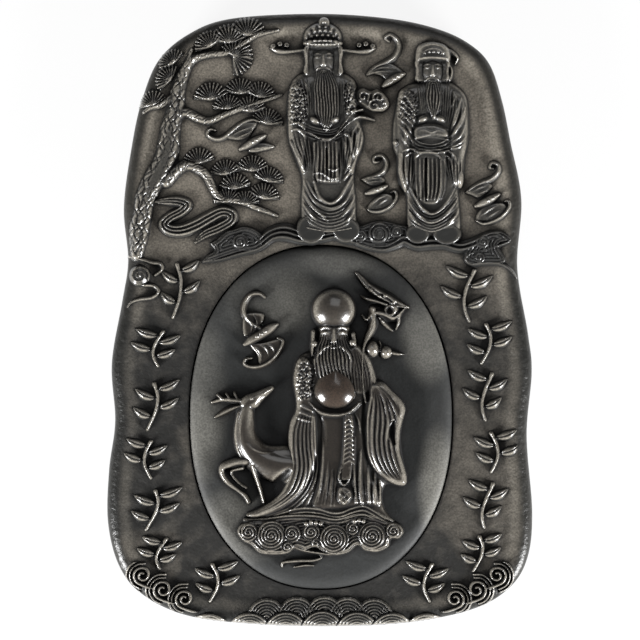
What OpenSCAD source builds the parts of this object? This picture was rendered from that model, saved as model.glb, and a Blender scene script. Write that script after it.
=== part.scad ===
/* [Slab] */
// Width of the slab at its widest
slab_w = 177; // [165:1:190]
// Length of the slab
slab_l = 255; // [240:1:270]
// Height of the carved ground above the table
ground_h = 26; // [22:0.5:32]
// Rise of the rim above the ground
rim_up = 1.2; // [0.6:0.1:2]
// Width of the rim band, from the edge of the slab to the ground
rim_w = 12; // [9:0.5:14]
// Radius that rounds the top edge
edge_r = 5; // [3:0.5:6.5]
// Bevel round the foot
foot_bevel = 1.5; // [0.5:0.25:3]

/* [Lid] */
// Width of the oval lid
lid_w = 108.6; // [100:0.2:114]
// Length of the oval lid
lid_l = 142; // [134:0.5:147]
// Thickness of the lid at its crest
lid_t = 10; // [8:0.5:12]
// Clearance all round the lid in its seat
lid_gap = 0.5; // [0.3:0.1:1]
// How far the lid lies below the middle of the slab
lid_down = 40.4; // [37:0.2:42]
// Width of the sloping border of the lid
lid_bevel_w = 5; // [3:0.5:8]
// Fall of the sloping border of the lid
lid_bevel_h = 2.4; // [1:0.2:4]
// Depth of the dished field of the lid
lid_dish = 1; // [0.4:0.1:2]

/* [Ink well] */
// Depth of the lid's seat below the ground
seat_depth = 8; // [6:0.5:10]
// Width of the ledge that the lid rests on
ledge_w = 6; // [4:0.5:9]
// Depth of the grinding floor below the ledge
floor_depth = 5.5; // [5:0.25:7]
// Further depth of the ink pool below the grinding floor
pool_depth = 5; // [3:0.5:7]
// Length of the ink pool at its deepest
pool_l = 30; // [22:1:40]

/* [Carving] */
// Height of the tallest carving on the slab above the ground
relief_h = 6.4; // [5:0.2:8]
// Height of the tallest carving on the lid above its field
lid_relief_h = 9; // [7:0.2:11]
// Radius of a tuft of pine needles
tuft_r = 6.4; // [5:0.1:7.5]
// Thickness factor of every carved line
line_w = 1; // [0.8:0.05:1.2]

/* [Hidden] */

// The carving is laid out on a slab and lid of these sizes, and spreads with the real ones
drawn_slab = [177, 255];
drawn_lid = [109, 143];
drawn_lid_centre = [0.5, -40.4];
drawn_relief_h = 6.4;
drawn_lid_relief_h = 9;

lid_centre = [drawn_lid_centre.x * slab_w / drawn_slab.x, -lid_down];
seat_z = ground_h - seat_depth;
floor_z = seat_z - floor_depth;
pool_z = floor_z - pool_depth;
lid_top = seat_z + lid_t;
field_z = lid_top - 0.3;
lid_foot_bevel = 0.6;
side_top = ground_h + rim_up - edge_r;
carve_sink = 6;
carve_reach = 60;
edge_keep = 0.5;
oval_power = 2.18;
oval_sides = 72;
slab_steps = 3;

slab_colour = "#4a4743";
carved_colour = "#5c5852";
lid_colour = "#3c3b3a";

// The slab's wavy outline: points that a closed curve runs through
slab_points = [
    [0, 127.5], [30, 125.4], [50, 120.9], [63, 114.5], [71, 106], [76, 91], [79.5, 74],
    [84, 50], [82.3, 22], [86.8, -6], [88.3, -22], [86.2, -48], [88.5, -80], [86.5, -99],
    [79, -111.5], [64, -120.3], [38, -125.8], [5, -127.5], [-30, -126.4], [-56, -122.8],
    [-74, -114], [-83.5, -102], [-88, -84], [-87.5, -62], [-85, -42], [-86.4, -18], [-82, 8],
    [-79.6, 25], [-81.4, 47], [-78, 73], [-74, 91], [-67, 108], [-54, 119.3], [-36, 125.6]];

// One point of a smooth curve that runs from b to c, with neighbours a and d
function between(a, b, c, d, t) =
    0.5 * (2 * b + (c - a) * t + (2 * a - 5 * b + 4 * c - d) * t * t
           + (3 * b - a - 3 * c + d) * t * t * t);

function closed_curve(p, steps) =
    let(n = len(p))
    [for (i = [0:n - 1], s = [0:steps - 1])
        between(p[(i + n - 1) % n], p[i], p[(i + 1) % n], p[(i + 2) % n], s / steps)];

function open_curve(p, steps) =
    let(n = len(p))
    [for (i = [0:n - 2], s = [0:i == n - 2 ? steps : steps - 1])
        between(p[max(i - 1, 0)], p[i], p[i + 1], p[min(i + 2, n - 1)], s / steps)];

function column(p, k) = [for (q = p) q[k]];
function unit(v) = v / norm(v);

// Fits a closed outline to a width and a length about the origin
function fitted(p, size) =
    let(x = column(p, 0), y = column(p, 1),
        low = [min(x), min(y)], high = [max(x), max(y)])
    [for (q = p) [(q.x - (low.x + high.x) / 2) * size.x / (high.x - low.x),
                  (q.y - (low.y + high.y) / 2) * size.y / (high.y - low.y)]];

// Moves each point of a clockwise outline inward by d
function inset(p, d) =
    let(n = len(p))
    [for (i = [0:n - 1])
        let(v = unit(p[(i + 1) % n] - p[(i + n - 1) % n]))
        [p[i].x + v.y * d, p[i].y - v.x * d]];

// A full oval, drawn clockwise
function oval(size) =
    [for (i = [0:oval_sides - 1])
        let(a = -360 * i / oval_sides, c = cos(a), s = sin(a))
        [size.x / 2 * sign(c) * pow(abs(c), 2 / oval_power),
         size.y / 2 * sign(s) * pow(abs(s), 2 / oval_power)]];

function moved(p, v) = [for (q = p) q + v];

slab_outline = fitted(closed_curve(slab_points, slab_steps), [slab_w, slab_l]);

function lid_oval(inside) =
    moved(oval([lid_w - 2 * inside, lid_l - 2 * inside]), lid_centre);

// A closed skin over rings of equal count, each ring a list of [x, y, z], from the foot up
module skin(rings, foot_centre, top_centre) {
    n = len(rings[0]);
    m = len(rings);
    points = concat([foot_centre], [for (r = rings) each r], [top_centre]);
    sides = [for (j = [0:m - 2], i = [0:n - 1])
        let(a = 1 + j * n + i, b = 1 + j * n + (i + 1) % n)
        each [[a, b, b + n], [a, b + n, a + n]]];
    foot = [for (i = [0:n - 1]) [0, 1 + (i + 1) % n, 1 + i]];
    top = [for (i = [0:n - 1]) [m * n + 1, 1 + (m - 1) * n + i, 1 + (m - 1) * n + (i + 1) % n]];
    polyhedron(points, concat(sides, foot, top), convexity = 6);
}

function at_height(p, z) = [for (q = p) [q.x, q.y, z]];

module slab_blank() {
    o = slab_outline;
    rings = concat(
        [at_height(inset(o, foot_bevel), 0), at_height(o, foot_bevel), at_height(o, side_top)],
        [for (a = [35, 65, 90]) at_height(inset(o, edge_r * (1 - cos(a))), side_top + edge_r * sin(a))],
        [at_height(inset(o, rim_w), ground_h)]);
    c = lid_centre;
    skin(rings, [c.x, c.y, 0], [c.x, c.y, ground_h]);
}

module lid_blank() {
    bevel = [for (a = [0, 45, 90])
        at_height(lid_oval(lid_bevel_w * (1 - cos(a))), lid_top - lid_bevel_h * (1 - sin(a)))];
    dish = [for (s = [0.55])
        let(f = lid_oval(lid_bevel_w + (1 - s) * (lid_w / 2 - lid_bevel_w)))
        at_height(f, lid_top - lid_dish * (1 - s * s))];
    rings = concat([at_height(lid_oval(lid_foot_bevel), seat_z),
                    at_height(lid_oval(0), seat_z + lid_foot_bevel)], bevel, dish);
    c = lid_centre;
    skin(rings, [c.x, c.y, seat_z], [c.x, c.y, lid_top - lid_dish]);
}

// The upright space that the lid lifts through
module lid_way(bottom) {
    translate([0, 0, bottom])
        linear_extrude(height = carve_reach)
            polygon(lid_oval(-lid_gap));
}

module slab() {
    color(slab_colour)
        difference() {
            slab_blank();
            lid_way(seat_z);
            well_cut(floor_z, 0);
            pool_cut();
        }
}

module well_cut(bottom, wall) {
    translate([0, 0, bottom])
        linear_extrude(height = carve_reach)
            polygon(lid_oval(ledge_w + wall));
}

// The ink pool is a crescent at the upper end of the grinding floor
module pool_cut() {
    shore = [lid_w - 2 * ledge_w, lid_l - 2 * ledge_w];
    pool_wall = 2;
    translate([0, 0, pool_z])
        linear_extrude(height = pool_depth + 1)
            difference() {
                polygon(lid_oval(ledge_w + pool_wall));
                polygon(moved(oval(shore), lid_centre - [0, pool_l]));
            }
}

module lid() {
    color(lid_colour)
        lid_blank();
}

// Carving on the slab: laid out at the drawn size, it seats on the slab's own surface,
// keeps inside its edge and stays clear of the way that the lid lifts through.
// The first child is the carving, and any others are neighbours that stand before it.
module on_slab() {
    $middle = [0, 0];
    $drawn_middle = [0, 0];
    $spread = [slab_w / drawn_slab.x, slab_l / drawn_slab.y];
    $rise = relief_h / drawn_relief_h;
    $level = ground_h;
    color(carved_colour)
        resize([0, 0, 0])
            difference() {
                intersection() {
                    children(0);
                    linear_extrude(height = carve_reach)
                        polygon(inset(slab_outline, edge_keep));
                }
                slab_blank();
                lid_way(seat_z);
                if ($children > 1)
                    children([1:$children - 1]);
            }
}

// Carving on the lid, seated the same way on the lid's field
module on_lid() {
    $middle = lid_centre;
    $drawn_middle = drawn_lid_centre;
    $spread = [lid_w / drawn_lid.x, lid_l / drawn_lid.y];
    $rise = lid_relief_h / drawn_lid_relief_h;
    $level = field_z;
    color(carved_colour)
        resize([0, 0, 0])
            difference() {
                intersection() {
                    children(0);
                    linear_extrude(height = carve_reach)
                        polygon(lid_oval(1));
                }
                lid_blank();
                if ($children > 1)
                    children([1:$children - 1]);
            }
}

// Where a drawn point lies on the real slab or lid
function placed(p) =
    $middle + [(p.x - $drawn_middle.x) * $spread.x, (p.y - $drawn_middle.y) * $spread.y];

function rim_slope(t) = rim_up * (1 - t);
// Height of the slab's surface above the ground, from the nearest point of its edge
function slab_surface(p) =
    let(d = min([for (q = slab_outline) norm(q - p)]))
    d > rim_w ? 0
    : d > edge_r ? rim_slope((d - edge_r) / (rim_w - edge_r))
    : rim_up - edge_r + sqrt(max(0, edge_r * edge_r - pow(edge_r - d, 2)));

// Sections of a carved line: how far across, from -1 to 1, and how high, from 0 to 1
round_line = [[-1, 0], [-0.72, 0.66], [0, 1], [0.72, 0.66], [1, 0]];
sharp_line = [[-1, 0], [0, 1], [1, 0]];
full_line = [[-1, 0], [-0.9, 0.5], [-0.5, 0.88], [0, 1], [0.5, 0.88], [0.9, 0.5], [1, 0]];
function ribbed_line(ribs, groove) =
    concat([[-1, 0]],
        [for (i = [0:2 * ribs])
            let(u = (i / ribs - 1) * 0.94, crown = 1 - 0.3 * u * u)
            [u, i % 2 == 0 ? crown - groove : crown]],
        [[1, 0]]);

// A carved line along a curve of [x, y, half width, height] points
module carved(path, section = round_line, steps = 1, draped = false) {
    c = open_curve(path, steps);
    n = len(c);
    m = len(section);
    rings = [for (i = [0:n - 1])
        let(here = placed(c[i]),
            v = unit(placed(c[min(i + 1, n - 1)]) - placed(c[max(i - 1, 0)])),
            w = max(c[i][2], 0.15) * line_w, h = max(c[i][3], 0.2) * $rise,
            top = [for (s = section)
                let(x = here.x + v.y * s.x * w, y = here.y - v.x * s.x * w)
                [x, y, $level + s.y * h + (draped ? slab_surface([x, y]) : 0)]])
        concat(top, [for (q = [top[m - 1], top[0]]) [q.x, q.y, $level - carve_sink]])];
    k = m + 2;
    sides = [for (i = [0:n - 2], j = [0:k - 1])
        let(a = i * k + j, b = i * k + (j + 1) % k)
        each [[a, b + k, b], [a, a + k, b + k]]];
    first = [[for (j = [0:k - 1]) j]];
    last = [[for (j = [k - 1:-1:0]) (n - 1) * k + j]];
    polyhedron([for (r = rings) each r], concat(sides, first, last), convexity = 8);
}

// A swelling of half widths rx and ry, with its rings of [share of radius, share of height]
module boss(centre, rx, ry, h, turn = 0, sides = 10, draped = false,
            shape = [[1, 0], [0.88, 0.5], [0.52, 0.88]]) {
    c = placed(centre);
    base = draped ? slab_surface(c) : 0;
    ring = function (share, z)
        [for (i = [0:sides - 1])
            let(a = -360 * i / sides, x = rx * share * cos(a), y = ry * share * sin(a))
            [c.x + x * cos(turn) - y * sin(turn), c.y + x * sin(turn) + y * cos(turn), z]];
    rings = concat([ring(shape[0][0], $level - carve_sink)],
        [for (s = shape) ring(s[0], $level + base + h * $rise * s[1])]);
    skin(rings, [c.x, c.y, $level - carve_sink], [c.x, c.y, $level + base + h * $rise]);
}

// A small round bead
module bead(centre, r, h) {
    boss(centre, r, r, h, sides = 6, shape = [[1, 0], [0.7, 0.75]]);
}

// Ridges round a low swelling, for waves and cloud heads
function ridged(count, groove) =
    [for (i = [0:2 * count])
        let(share = 1 - i / (2 * count + 1))
        [share, (i == 0 ? 0.45 : i % 2 == 1 ? 0.95 : 0.95 - groove) - 0.15 * share]];

// A spiral line that winds in from radius r
function spiral(centre, r, start, turns, w, h, hand = 1, core = 0.22) =
    let(n = ceil(turns * 5.5))
    [for (i = [0:n])
        let(t = i / n, a = start + hand * 360 * turns * t, q = r * (1 - (1 - core) * t))
        [centre.x + q * cos(a), centre.y + q * sin(a), w, h * (0.75 + 0.25 * t)]];

module cloud_head(centre, r, start, hand, h, turns = 1.4, draped = false) {
    boss(centre, r, r, h * 0.6, sides = 10, draped = draped, shape = [[1, 0], [0.9, 1]]);
    carved(spiral(centre, r * 0.9, start, turns, r * 0.13, h, hand), sharp_line, 1, draped);
}

// Hanging cloth: rows of [y, left, right, height, fold depth] from the hem up
module cloth(rows, folds) {
    n = len(rows);
    m = 2 * folds;
    grid = [for (q = rows)
        let(top = [for (j = [0:m])
                let(u = 2 * j / m - 1, p = placed([q[1] + (q[2] - q[1]) * j / m, q[0]]),
                    crown = 1 - 0.45 * pow(abs(u), 3))
                [p.x, p.y, $level + $rise * (q[3] * crown - (j % 2 == 1 ? q[4] : 0))]])
        concat(top, [for (e = [top[m], top[0]]) [e.x, e.y, $level - carve_sink]])];
    k = m + 3;
    sides = [for (i = [0:n - 2], j = [0:k - 1])
        let(a = i * k + j, b = i * k + (j + 1) % k)
        each [[a, b + k, b], [a, a + k, b + k]]];
    first = [[for (j = [0:k - 1]) j]];
    last = [[for (j = [k - 1:-1:0]) (n - 1) * k + j]];
    polyhedron([for (g = grid) each g], concat(sides, first, last), convexity = 8);
}

// A tuft of pine needles: an open fan of ribs about its base
module tuft(base, dir, size = 1, spread = 150, h = 2.4) {
    ribs = 5;
    c = placed(base);
    r = tuft_r * size;
    n = 2 * ribs + 1;
    arc = function (share, high, low)
        [for (i = [0:n - 1])
            let(a = dir - spread / 2 + spread * i / (n - 1), ridge = i % 2 == 1,
                q = r * share * (ridge ? 1 : 0.93))
            [c.x + q * cos(a), c.y + q * sin(a), $level + $rise * h * (ridge ? high : low)]];
    outer = arc(1, 0.5, 0.25);
    middle = arc(0.6, 1, 0.65);
    foot = [for (q = outer) [q.x, q.y, $level - carve_sink]];
    hub = [[c.x, c.y, $level + $rise * h * 0.75], [c.x, c.y, $level - carve_sink]];
    points = concat(foot, outer, middle, hub);
    strips = [for (row = [0, n], i = [0:n - 2])
        let(a = row + i)
        each [[a, a + n, a + n + 1], [a, a + n + 1, a + 1]]];
    heart = [for (i = [0:n - 2]) [2 * n + i, 3 * n, 2 * n + i + 1]];
    under = [for (i = [0:n - 2]) [i, i + 1, 3 * n + 1]];
    ends = [[0, 3 * n + 1, 3 * n, 2 * n, n], [n - 1, 2 * n - 1, 3 * n - 1, 3 * n, 3 * n + 1]];
    polyhedron(points, concat(strips, heart, under, ends), convexity = 6);
}

// Pine tree
module pine_trunk_form() {
    carved([[-76, 27, 3.2, 2.6], [-74.8, 36, 4.2, 3], [-73.2, 46, 4.1, 3.4],
            [-70.5, 55, 4.5, 3.6], [-65.5, 63.5, 4.8, 3.6], [-62.2, 74, 4.3, 3.4],
            [-60.5, 84, 3.6, 3.2], [-58.6, 96, 3.1, 2.9], [-55.5, 105, 2, 2.6],
            [-53, 112, 0.7, 1.6]], full_line);
    // Branches, from the top down
    carved([[-57, 102, 1.8, 2.4], [-53, 108.5, 1.3, 2.3], [-46, 110, 1.1, 2.1],
            [-38, 111, 1, 2], [-30, 116, 0.9, 1.9], [-20, 119.3, 0.6, 1.5]]);
    carved([[-61, 84, 1.9, 2.5], [-55, 86, 1.5, 2.4], [-48, 83, 1.3, 2.2], [-41, 84.5, 1.1, 2],
            [-33, 88, 0.9, 1.9], [-26, 90, 0.8, 1.8], [-17, 93, 0.5, 1.5]]);
    carved([[-64, 58, 2, 2.6], [-57, 63.5, 1.7, 2.5], [-50, 62.5, 1.5, 2.4],
            [-45, 56, 1.3, 2.2], [-40, 50.5, 1.2, 2], [-32, 49, 1.1, 2],
            [-25, 46, 0.9, 1.8], [-17.5, 43, 0.6, 1.5]]);
    carved([[-60, 92.5, 1.5, 2.2], [-66, 89, 1.1, 1.9], [-73, 86.5, 0.6, 1.5]]);
    // Knots on the trunk
    boss([-69.5, 58], 1.6, 1.3, 4.2, 60, 10);
    boss([-62.5, 77], 1.5, 1.2, 4, 80, 10);
}

module pine_trunk() {
    on_slab() {
        pine_trunk_form();
        pine_tufts_form();
    }
}

// Tufts of needles: [x, y, direction, size, height]
tufts = [
    [-45, 113, 118, 1, 2.6], [-37.5, 114.5, 92, 1.15, 2.5], [-30, 117.5, 85, 1.15, 2.3],
    [-35.5, 109, 70, 1, 2.9], [-36, 109.5, -8, 1.2, 2.4], [-60.5, 106, 125, 0.9, 2.3],
    [-61.5, 99, 140, 0.95, 2.5], [-69, 88.5, 105, 0.95, 2.4], [-45, 91, 95, 1.1, 2.4],
    [-33, 93.5, 92, 1, 2.3], [-25, 92, 80, 1, 2.5], [-38, 87, 95, 0.95, 2.7],
    [-29, 86, 88, 1, 2.6], [-22, 81, 78, 1, 2.4], [-50, 64.5, 100, 1, 2.4],
    [-39, 60, 98, 0.95, 2.3], [-28, 61.5, 90, 1, 2.4], [-21.5, 57, 78, 0.95, 2.6],
    [-35, 54, 95, 1, 2.6],
    [-23.5, 50, 80, 1, 2.7], [-38, 48.5, 100, 0.9, 2.8], [-31, 47.5, 88, 0.9, 2.9]];

module pine_tufts_form() {
    for (t = tufts)
        tuft([t[0], t[1]], t[2], t[3], h = t[4]);
}

module pine_tufts() {
    on_slab()
        pine_tufts_form();
}

// Official in a hat with two stiff wings, holding a cloud-headed sceptre
module hat_figure_form() {
    cloth([[36, -6.5, 14.5, 1.6, 0.5], [43, -7.5, 15, 2.6, 0.6], [52, -7.5, 14.8, 3.2, 0.6],
           [60, -8, 14.2, 3.8, 0.5], [70, -11.5, 17, 4.2, 0.4], [80, -13.4, 17.8, 4.4, 0.3],
           [92, -13.2, 16.5, 4.4, 0.3], [99, -11, 14.4, 3.8, 0.2], [102.5, -7, 9.5, 3, 0]], 4);
    // Sleeves
    carved([[-9, 98, 2.6, 4.6], [-10.4, 88, 3, 5.2], [-9.4, 78, 3.6, 5.4], [-8.4, 69, 3.4, 5],
            [-7.6, 60, 1, 3.6]], ribbed_line(2, 0.14));
    carved([[12, 98, 2.6, 4.6], [14, 88, 2.8, 5.2], [14, 78, 3.8, 5.4], [13.4, 69, 3.4, 5],
            [13.8, 60, 1, 3.6]], ribbed_line(2, 0.14));
    // Belt, skirt panel and the apron's hanging folds
    carved([[-8, 78.5, 1, 5.4], [0, 74.8, 1.1, 5.9], [6, 75.2, 1.1, 5.9], [11, 80, 1, 5.4]]);
    carved([[3, 74, 3.6, 5.2], [3, 65, 4.2, 5], [3, 57, 4.6, 4.2]], ribbed_line(2, 0.14));
    for (drop = [0:2])
        carved([[-6, 58 - 5.5 * drop, 0.7, 4], [-1, 50.5 - 5 * drop, 0.8, 4.2],
                [4, 48 - 5 * drop, 0.8, 4.2], [9, 50.5 - 5 * drop, 0.8, 4.2],
                [13.5, 58 - 5.5 * drop, 0.7, 4]]);
    // Head, beard and ears
    boss([1.5, 105.5], 5.6, 6.2, 6.2);
    carved([[1.5, 107.5, 0.6, 6.6], [1.5, 104.5, 0.9, 7]], sharp_line);
    carved([[1.5, 102, 4.6, 5.8], [1.5, 95, 5.4, 6], [1.8, 88, 3.8, 5.8], [2, 81, 0.8, 5.2]],
           ribbed_line(4, 0.12));
    for (side = [-1, 1])
        bead([1.5 + 6 * side, 104.6], 1.3, 4.6);
    // Hat, its wings and their beads
    boss([1.3, 117.5], 8, 5.4, 5.6);
    carved([[-6, 111.5, 2.4, 5.2], [1.3, 110.8, 2.7, 6.4], [8.5, 111.5, 2.4, 5.2]], full_line);
    bead([1.8, 123], 2.2, 4.2);
    for (side = [-1, 1]) {
        carved([[1.3 + 6.5 * side, 112, 0.7, 4], [1.3 + 12.5 * side, 111.7, 0.7, 3],
                [1.3 + 17 * side, 111.9, 1.6, 2.8], [1.3 + 21.7 * side, 112.3, 0.4, 1.8]]);
        for (x = [15.5, 18, 20.5])
            bead([1.3 + x * side, 114.2], 1.1, 2.4);
    }
    // Hands and the sceptre with its cloud head
    boss([2.5, 82], 3.4, 2.6, 6.2, 20);
    carved([[9, 80, 1, 5.8], [16, 85.5, 1.1, 5.4], [20, 88.5, 1.1, 4.6]]);
    boss([21, 91], 6.6, 4.2, 3.4, 8);
    carved(spiral([17.5, 92], 3, -30, 1, 0.6, 4.6), sharp_line);
    carved(spiral([25, 92], 3, 210, 1, 0.6, 4.6, -1), sharp_line);
    bead([21.3, 89.5], 1.9, 5.2);
    carved([[12, 83.8, 1.2, 5], [18, 83, 1.1, 3.6], [23, 82.2, 0.6, 2.2]]);
}

module hat_figure() {
    on_slab() {
        hat_figure_form();
        cloud_bank_form();
    }
}

// Scholar in a soft cap, hands joined in the sleeves
module cap_figure_form() {
    cloth([[34, 37.5, 57, 1.6, 0.5], [42, 36, 58, 2.6, 0.6], [51, 35.5, 58, 3.2, 0.6],
           [60, 32, 59.7, 3.8, 0.5], [70, 30.8, 61.2, 4.2, 0.4], [80, 30, 62, 4.4, 0.3],
           [90, 31.4, 61.4, 4.3, 0.3], [96, 34, 58.6, 3.8, 0.2], [99.5, 39, 54, 3, 0]], 4);
    carved([[36, 95, 2.6, 4.6], [34, 85, 3.1, 5.2], [34.6, 75, 3.7, 5.4], [36.2, 65, 3.6, 5],
            [35.6, 54, 1.4, 3.6]], ribbed_line(2, 0.14));
    carved([[57, 95, 2.6, 4.6], [58.2, 85, 3.1, 5.2], [57, 75, 3.8, 5.4], [55.4, 65, 3.8, 5],
            [56.6, 55, 1.4, 3.6]], ribbed_line(2, 0.14));
    // Joined hands, sash and panel
    boss([46, 83.5], 6, 3, 5.8);
    carved([[38.5, 79, 1.4, 5.2], [46, 80, 1.7, 5.9], [53.5, 78.6, 1.4, 5.2]]);
    carved([[39, 75.5, 1, 5.2], [46, 75.8, 1.1, 5.7], [53, 75.2, 1, 5.2]]);
    carved([[46, 74, 3.8, 5.2], [45.6, 65, 4.3, 5], [45, 55, 4.2, 4.2]], ribbed_line(2, 0.14));
    for (drop = [0:2])
        carved([[37, 55 - 5.5 * drop, 0.7, 4], [41.5, 48 - 5 * drop, 0.8, 4.2],
                [46.5, 45.5 - 5 * drop, 0.8, 4.2], [51.5, 48 - 5 * drop, 0.8, 4.2],
                [56, 55 - 5.5 * drop, 0.7, 4]]);
    // Head, beard, ears and cap
    boss([46.6, 102.8], 5.2, 5.8, 6);
    carved([[46.6, 104.7, 0.6, 6.4], [46.6, 101.8, 0.9, 6.8]], sharp_line);
    carved([[46.8, 99, 3.8, 5.6], [46.8, 93, 4.1, 5.8], [47, 88, 2.6, 5.6],
            [47.2, 84.5, 0.8, 6]], ribbed_line(3, 0.12));
    for (side = [-1, 1])
        bead([46.6 + 5.5 * side, 101.8], 1.3, 4.4);
    boss([46.8, 110.5], 7, 4.9, 5.8);
    carved([[40, 107.6, 1.2, 4.6], [46.6, 107.4, 1.4, 6.2], [53.3, 107.8, 1.2, 4.6]]);
    boss([46.8, 112.6], 4.4, 2.6, 6.4, sides = 8);
    carved([[53, 111, 1.1, 3.6], [56, 109, 1.2, 3], [55.4, 105.4, 0.8, 2.2]]);
}

module cap_figure() {
    on_slab() {
        cap_figure_form();
        cloud_bank_form();
    }
}

// Clouds that both figures stand on
module cloud_bank_form() {
    // Left end, rising to its two curls
    carved([[-48, 24.6, 0.8, 2], [-42, 26.6, 1.2, 2.4], [-34, 29, 1.5, 2.6],
            [-25, 31, 2, 2.8], [-16, 35.5, 2.6, 3], [-6, 34.4, 2.6, 3],
            [4, 35.6, 2.6, 3], [14, 33.6, 2.4, 3]], ribbed_line(2, 0.2));
    carved([[-46, 29.5, 0.6, 2], [-42, 34, 0.9, 2.6], [-35, 37.6, 1.1, 2.8],
            [-27, 36.6, 1.1, 2.8], [-24, 33.4, 0.9, 2.6], [-28, 31.6, 0.7, 2.4]]);
    cloud_head([-33.5, 32.6], 3.6, 100, 1, 3.2, 1.2);
    // Cloud heads under the feet
    boss([-4, 38.4], 6.4, 5.6, 3.2, shape = ridged(1, 0.25));
    boss([11, 38], 6.2, 5, 3.2, shape = ridged(1, 0.25));
    boss([3.5, 37.6], 4, 4, 2.8, sides = 8);
    cloud_head([24.5, 36], 5.2, 0, 1, 3.6);
    bead([16.8, 35.2], 3, 2.8);
    bead([32, 36.6], 3.2, 2.8);
    boss([40.5, 36.4], 5, 3.8, 3, shape = ridged(1, 0.25));
    boss([52.6, 36.6], 6.2, 3.9, 3, shape = ridged(1, 0.25));
    // Right end, running out in a curl and a tail
    carved([[16, 32.4, 1.6, 2.6], [24, 29.8, 1.6, 2.6], [33, 33, 1.8, 2.8], [40, 31.4, 2, 2.8],
            [48, 32.4, 1.9, 2.8], [57, 30.4, 1.8, 2.6], [64, 32.2, 1.6, 2.5],
            [71, 35.2, 1.2, 2.3], [77, 34.6, 0.8, 2]], ribbed_line(2, 0.18), draped = true);
    carved([[77.6, 32.4, 0.7, 2], [71, 30.4, 1, 2.2], [64, 28.2, 1.1, 2.4], [60.6, 25.6, 1, 2.4],
            [64, 23, 1.1, 2.4], [71, 23.6, 1.1, 2.2], [77, 22.6, 0.9, 2],
            [80.6, 18, 0.6, 1.6]], draped = true);
}

module cloud_bank() {
    on_slab()
        cloud_bank_form();
}

module mist_ribbon_form() {
    carved([[-68, 48.6, 0.7, 1.6], [-61, 49.2, 1.6, 2], [-55.4, 48, 1.7, 2.2],
            [-58, 44.8, 1.7, 2.2], [-64.4, 41.4, 1.8, 2.2], [-61.4, 37.4, 1.9, 2.4],
            [-53, 38.6, 2, 2.4], [-46.5, 42, 2, 2.4], [-40, 44.4, 1.9, 2.2],
            [-36.4, 42.6, 1.7, 2.2], [-41, 38.2, 1.7, 2.2], [-48, 35.2, 1.5, 2],
            [-53, 31, 0.6, 1.6]], ribbed_line(3, 0.2));
}

module mist_ribbon() {
    on_slab()
        mist_ribbon_form();
}

// Small cloud by the left edge
module edge_clouds_form() {
    carved([[-79, 26.4, 0.7, 1.6], [-73, 25, 1, 2], [-68.6, 23.6, 1, 2.2], [-66, 21, 1, 2.2],
            [-69, 18.4, 0.9, 2.2]], draped = true);
    cloud_head([-74.6, 18.6], 4.6, -30, 1, 2.8, 1.2, true);
    carved([[-73, 14.6, 0.8, 2], [-68.4, 14.2, 1, 2.2], [-67, 11.4, 1, 2.2], [-70, 9.2, 1, 2],
            [-75, 8.6, 0.9, 1.8], [-79.4, 5.8, 0.6, 1.6]], draped = true);
}

module edge_clouds() {
    on_slab()
        edge_clouds_form();
}

// A bat: its body, and each wing a line that curls over at the tip
module bat(body, wings, h = 2.4) {
    carved([for (q = body) [q[0], q[1], q[2], h * 1.3]]);
    for (wing = wings)
        carved([for (q = wing) [q[0], q[1], q[2], h]]);
}

module slab_bats_form() {
    bat([[-33, 71, 0.7], [-28, 73.6, 1.8], [-22.6, 76.6, 0.8]],
        [[[-43.4, 79.2, 0.4], [-46, 78.6, 0.7], [-46, 75.8, 0.8], [-42, 75, 1.3],
          [-37, 78, 2.1], [-31.5, 80, 2.2], [-25.6, 82, 0.6]],
         [[-29, 70.4, 1.2], [-24, 70.8, 1.5], [-18.4, 71.8, 0.4]]]);
    bat([[26, 96.6, 0.8], [30.4, 99.2, 2], [35.2, 102.2, 0.8]],
        [[[29.6, 115, 0.4], [27.4, 117.2, 0.6], [31, 118, 0.8], [33, 114.6, 1.2],
          [32, 109.6, 1.5], [29.6, 104.8, 1.8], [31, 101.6, 1.4]],
         [[18.6, 101.4, 0.4], [22.8, 102.4, 1.2], [27, 102, 1.8], [30, 99.6, 1.6]]]);
    bat([[18.6, 52.2, 0.7], [23, 54.2, 1.6], [27.8, 55.4, 0.7]],
        [[[24.6, 65.4, 0.4], [22.2, 66.6, 0.6], [25.6, 68.2, 0.8], [27.8, 65, 1.1],
          [26, 61.4, 1.5], [21.6, 58.4, 1.6], [17, 58.2, 0.5]],
         [[22.6, 52, 1.2], [21, 47.6, 1.5], [26, 46, 1.4], [30, 48.6, 1], [31.6, 51.6, 0.6],
          [29.6, 52.6, 0.4]]]);
    bat([[64.4, 47.2, 0.8], [69, 49.6, 2], [74, 52, 0.8]],
        [[[72, 62.6, 0.4], [70.8, 64.6, 0.6], [74, 64.8, 0.8], [74, 61, 1.2],
          [69.4, 57.4, 1.6], [64, 54.6, 1.8], [60.4, 52.8, 0.6]],
         [[68.6, 48, 1.3], [66, 42.6, 1.6], [71, 41.4, 1.5], [76.4, 44, 1.2],
          [78.2, 48, 0.7], [76.2, 49.4, 0.4]]]);
}

module slab_bats() {
    on_slab()
        slab_bats_form();
}

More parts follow.
